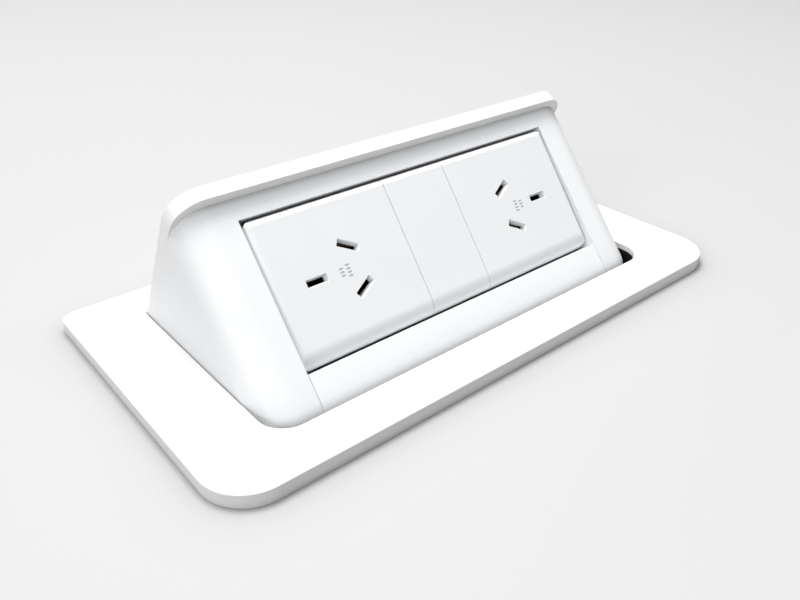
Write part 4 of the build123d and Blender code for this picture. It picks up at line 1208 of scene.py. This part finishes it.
@dataclass
class DeskClamp(SubAssembly):
    """One desk clamp: its bracket, nut and thumbscrew."""

    side: Side

    def nodes(self) -> dict[str, Corner | None]:
        """The clamp's pieces."""
        word = self.side.word
        return {
            f"clamp_bracket_{word}": Corner.CRISP,
            f"clamp_nut_{word}": Corner.STAMPED,
            f"clamp_thumbscrew_{word}": Corner.TURNED,
        }


@dataclass(frozen=True)
class SoftBox:
    """A soft rectangular light that looks at the middle of the plate, with its power in watts."""

    name: str
    place: Triple
    size: Pair
    power: float

    def hang(self) -> None:
        """Hangs the light."""
        light = bpy.data.lights.new(self.name, "AREA")
        light.shape = "RECTANGLE"
        light.size, light.size_y = self.size
        light.energy = self.power
        lamp = bpy.data.objects.new(self.name, light)
        bpy.context.scene.collection.objects.link(lamp)
        lamp.location = self.place
        lamp.rotation_mode = "QUATERNION"
        lamp.rotation_quaternion = (-Vector(self.place)).to_track_quat("-Z", "Y")


@dataclass
class Studio:
    """The pale desk round the cut-out, the lights and the camera, whose lens is in millimetres."""

    desk_reach: float = 6.0
    cutout_low: Pair = (-93 * MM, -44.5 * MM)
    cutout_high: Pair = (93 * MM, 51.5 * MM)
    # The desk's own colour, and the colour of its painted shade round the plate.
    board: PaintedBoard = PaintedBoard("desk_pale", (0.445, 0.445, 0.445), (0.17, 0.17, 0.17))
    desk_drop: float = 0.05 * MM
    sky_strength: float = 0.15
    backdrop_tone: float = 0.72
    lights: tuple[SoftBox, ...] = (
        SoftBox("overhead", (0.0, 0.0, 2.0), (1.6, 1.6), 38.5),
        SoftBox("high_rear", (0.0, 0.6, 1.9), (1.4, 0.8), 40.0),
        SoftBox("left_low", (-1.8, -0.6, 0.7), (1.0, 0.8), 14.5),
        SoftBox("below", (-0.5, -0.8, -1.1), (1.2, 1.0), 32.0),
    )
    camera_place: Triple = (-154.37 * MM, -181.14 * MM, 140.19 * MM)
    camera_azimuth: float = -39.57
    camera_elevation: float = 31.12
    camera_roll: float = -0.18
    camera_near: float = 1 * MM
    lens: float = 35.0

    def desk(self) -> None:
        """Lays the desk, a hair below the plate's underside.

        It is a grid of three by three flat fields without the middle one, which is the cut-out.
        """
        lines = [
            np.array([-self.desk_reach, low, high, self.desk_reach])
            for low, high in zip(self.cutout_low, self.cutout_high)
        ]
        x, y = np.meshgrid(*lines, indexing="ij")
        points = np.stack([x, y, np.full_like(x, -self.desk_drop)], axis=-1).reshape(-1, 3)
        corner = np.arange(x.size).reshape(x.shape)
        around = [corner[:-1, :-1], corner[1:, :-1], corner[1:, 1:], corner[:-1, 1:]]
        fields = np.stack(around, axis=-1).reshape(-1, 4)
        fields = np.delete(fields, len(fields) // 2, axis=0)
        mesh = bpy.data.meshes.new("desk")
        mesh.from_pydata(points.tolist(), [], fields.tolist())
        mesh.materials.append(self.board.material())
        desk = bpy.data.objects.new("desk", mesh)
        bpy.context.scene.collection.objects.link(desk)

    def light(self) -> None:
        """Sets the even sky, a paler backdrop where nothing else shows, and hangs the lights."""
        world = bpy.data.worlds.new("studio")
        world.use_nodes = True
        sky = ShaderTree(world.node_tree)
        shown = Value(sky, sky.node("ShaderNodeLightPath").outputs["Is Camera Ray"])
        strength = shown * (self.backdrop_tone - self.sky_strength) + self.sky_strength
        sky.feed(sky.tree.nodes["Background"], {"Color": WHITE, "Strength": strength})
        bpy.context.scene.world = world
        for box in self.lights:
            box.hang()

    def aim_camera(self) -> None:
        """Sets the camera that looks as the photograph does.

        Its back is the direction of its azimuth and elevation, and its right and up are square to
        that and turned by the roll.
        """
        angles = (self.camera_azimuth, self.camera_elevation, self.camera_roll)
        turn, rise, roll = (math.radians(angle) for angle in angles)
        level = math.cos(rise)
        back = Vector((math.sin(turn) * level, -math.cos(turn) * level, math.sin(rise)))
        right = (-back).cross(Vector((0, 0, 1))).normalized()
        above = back.cross(right)
        across = right * math.cos(roll) + above * math.sin(roll)
        upward = above * math.cos(roll) - right * math.sin(roll)
        facing = Matrix([(*row,) for row in zip(across, upward, back)]).to_4x4()
        camera = bpy.data.objects.new("camera", bpy.data.cameras.new("camera"))
        camera.data.lens = self.lens
        camera.data.clip_start = self.camera_near
        camera.matrix_world = Matrix.Translation(self.camera_place) @ facing
        bpy.context.scene.collection.objects.link(camera)
        bpy.context.scene.camera = camera

    def build(self) -> None:
        """Lays the desk, and sets the lights and the camera."""
        self.desk()
        self.light()
        self.aim_camera()


def main() -> None:
    """Builds the sub-assemblies and the studio in order."""
    logging.basicConfig(level=logging.INFO, format="%(message)s")
    bpy.context.scene.view_settings.view_transform = "Standard"
    shop = Workshop()
    assemblies = [DeskPlate(shop), Tub(shop), FlipUnit(shop)]
    assemblies += [Outlet(shop, side) for side in Side]
    assemblies += [Hinge(shop), Damper(shop), Latch(shop), TerminalBlock(shop), CableGland(shop)]
    assemblies += [DeskClamp(shop, side) for side in Side]
    for assembly in assemblies:
        assembly.build()
    if shop.undressed:
        log.warning("no finish for %s", sorted(shop.undressed))
    Studio().build()


if __name__ == "__main__":
    main()
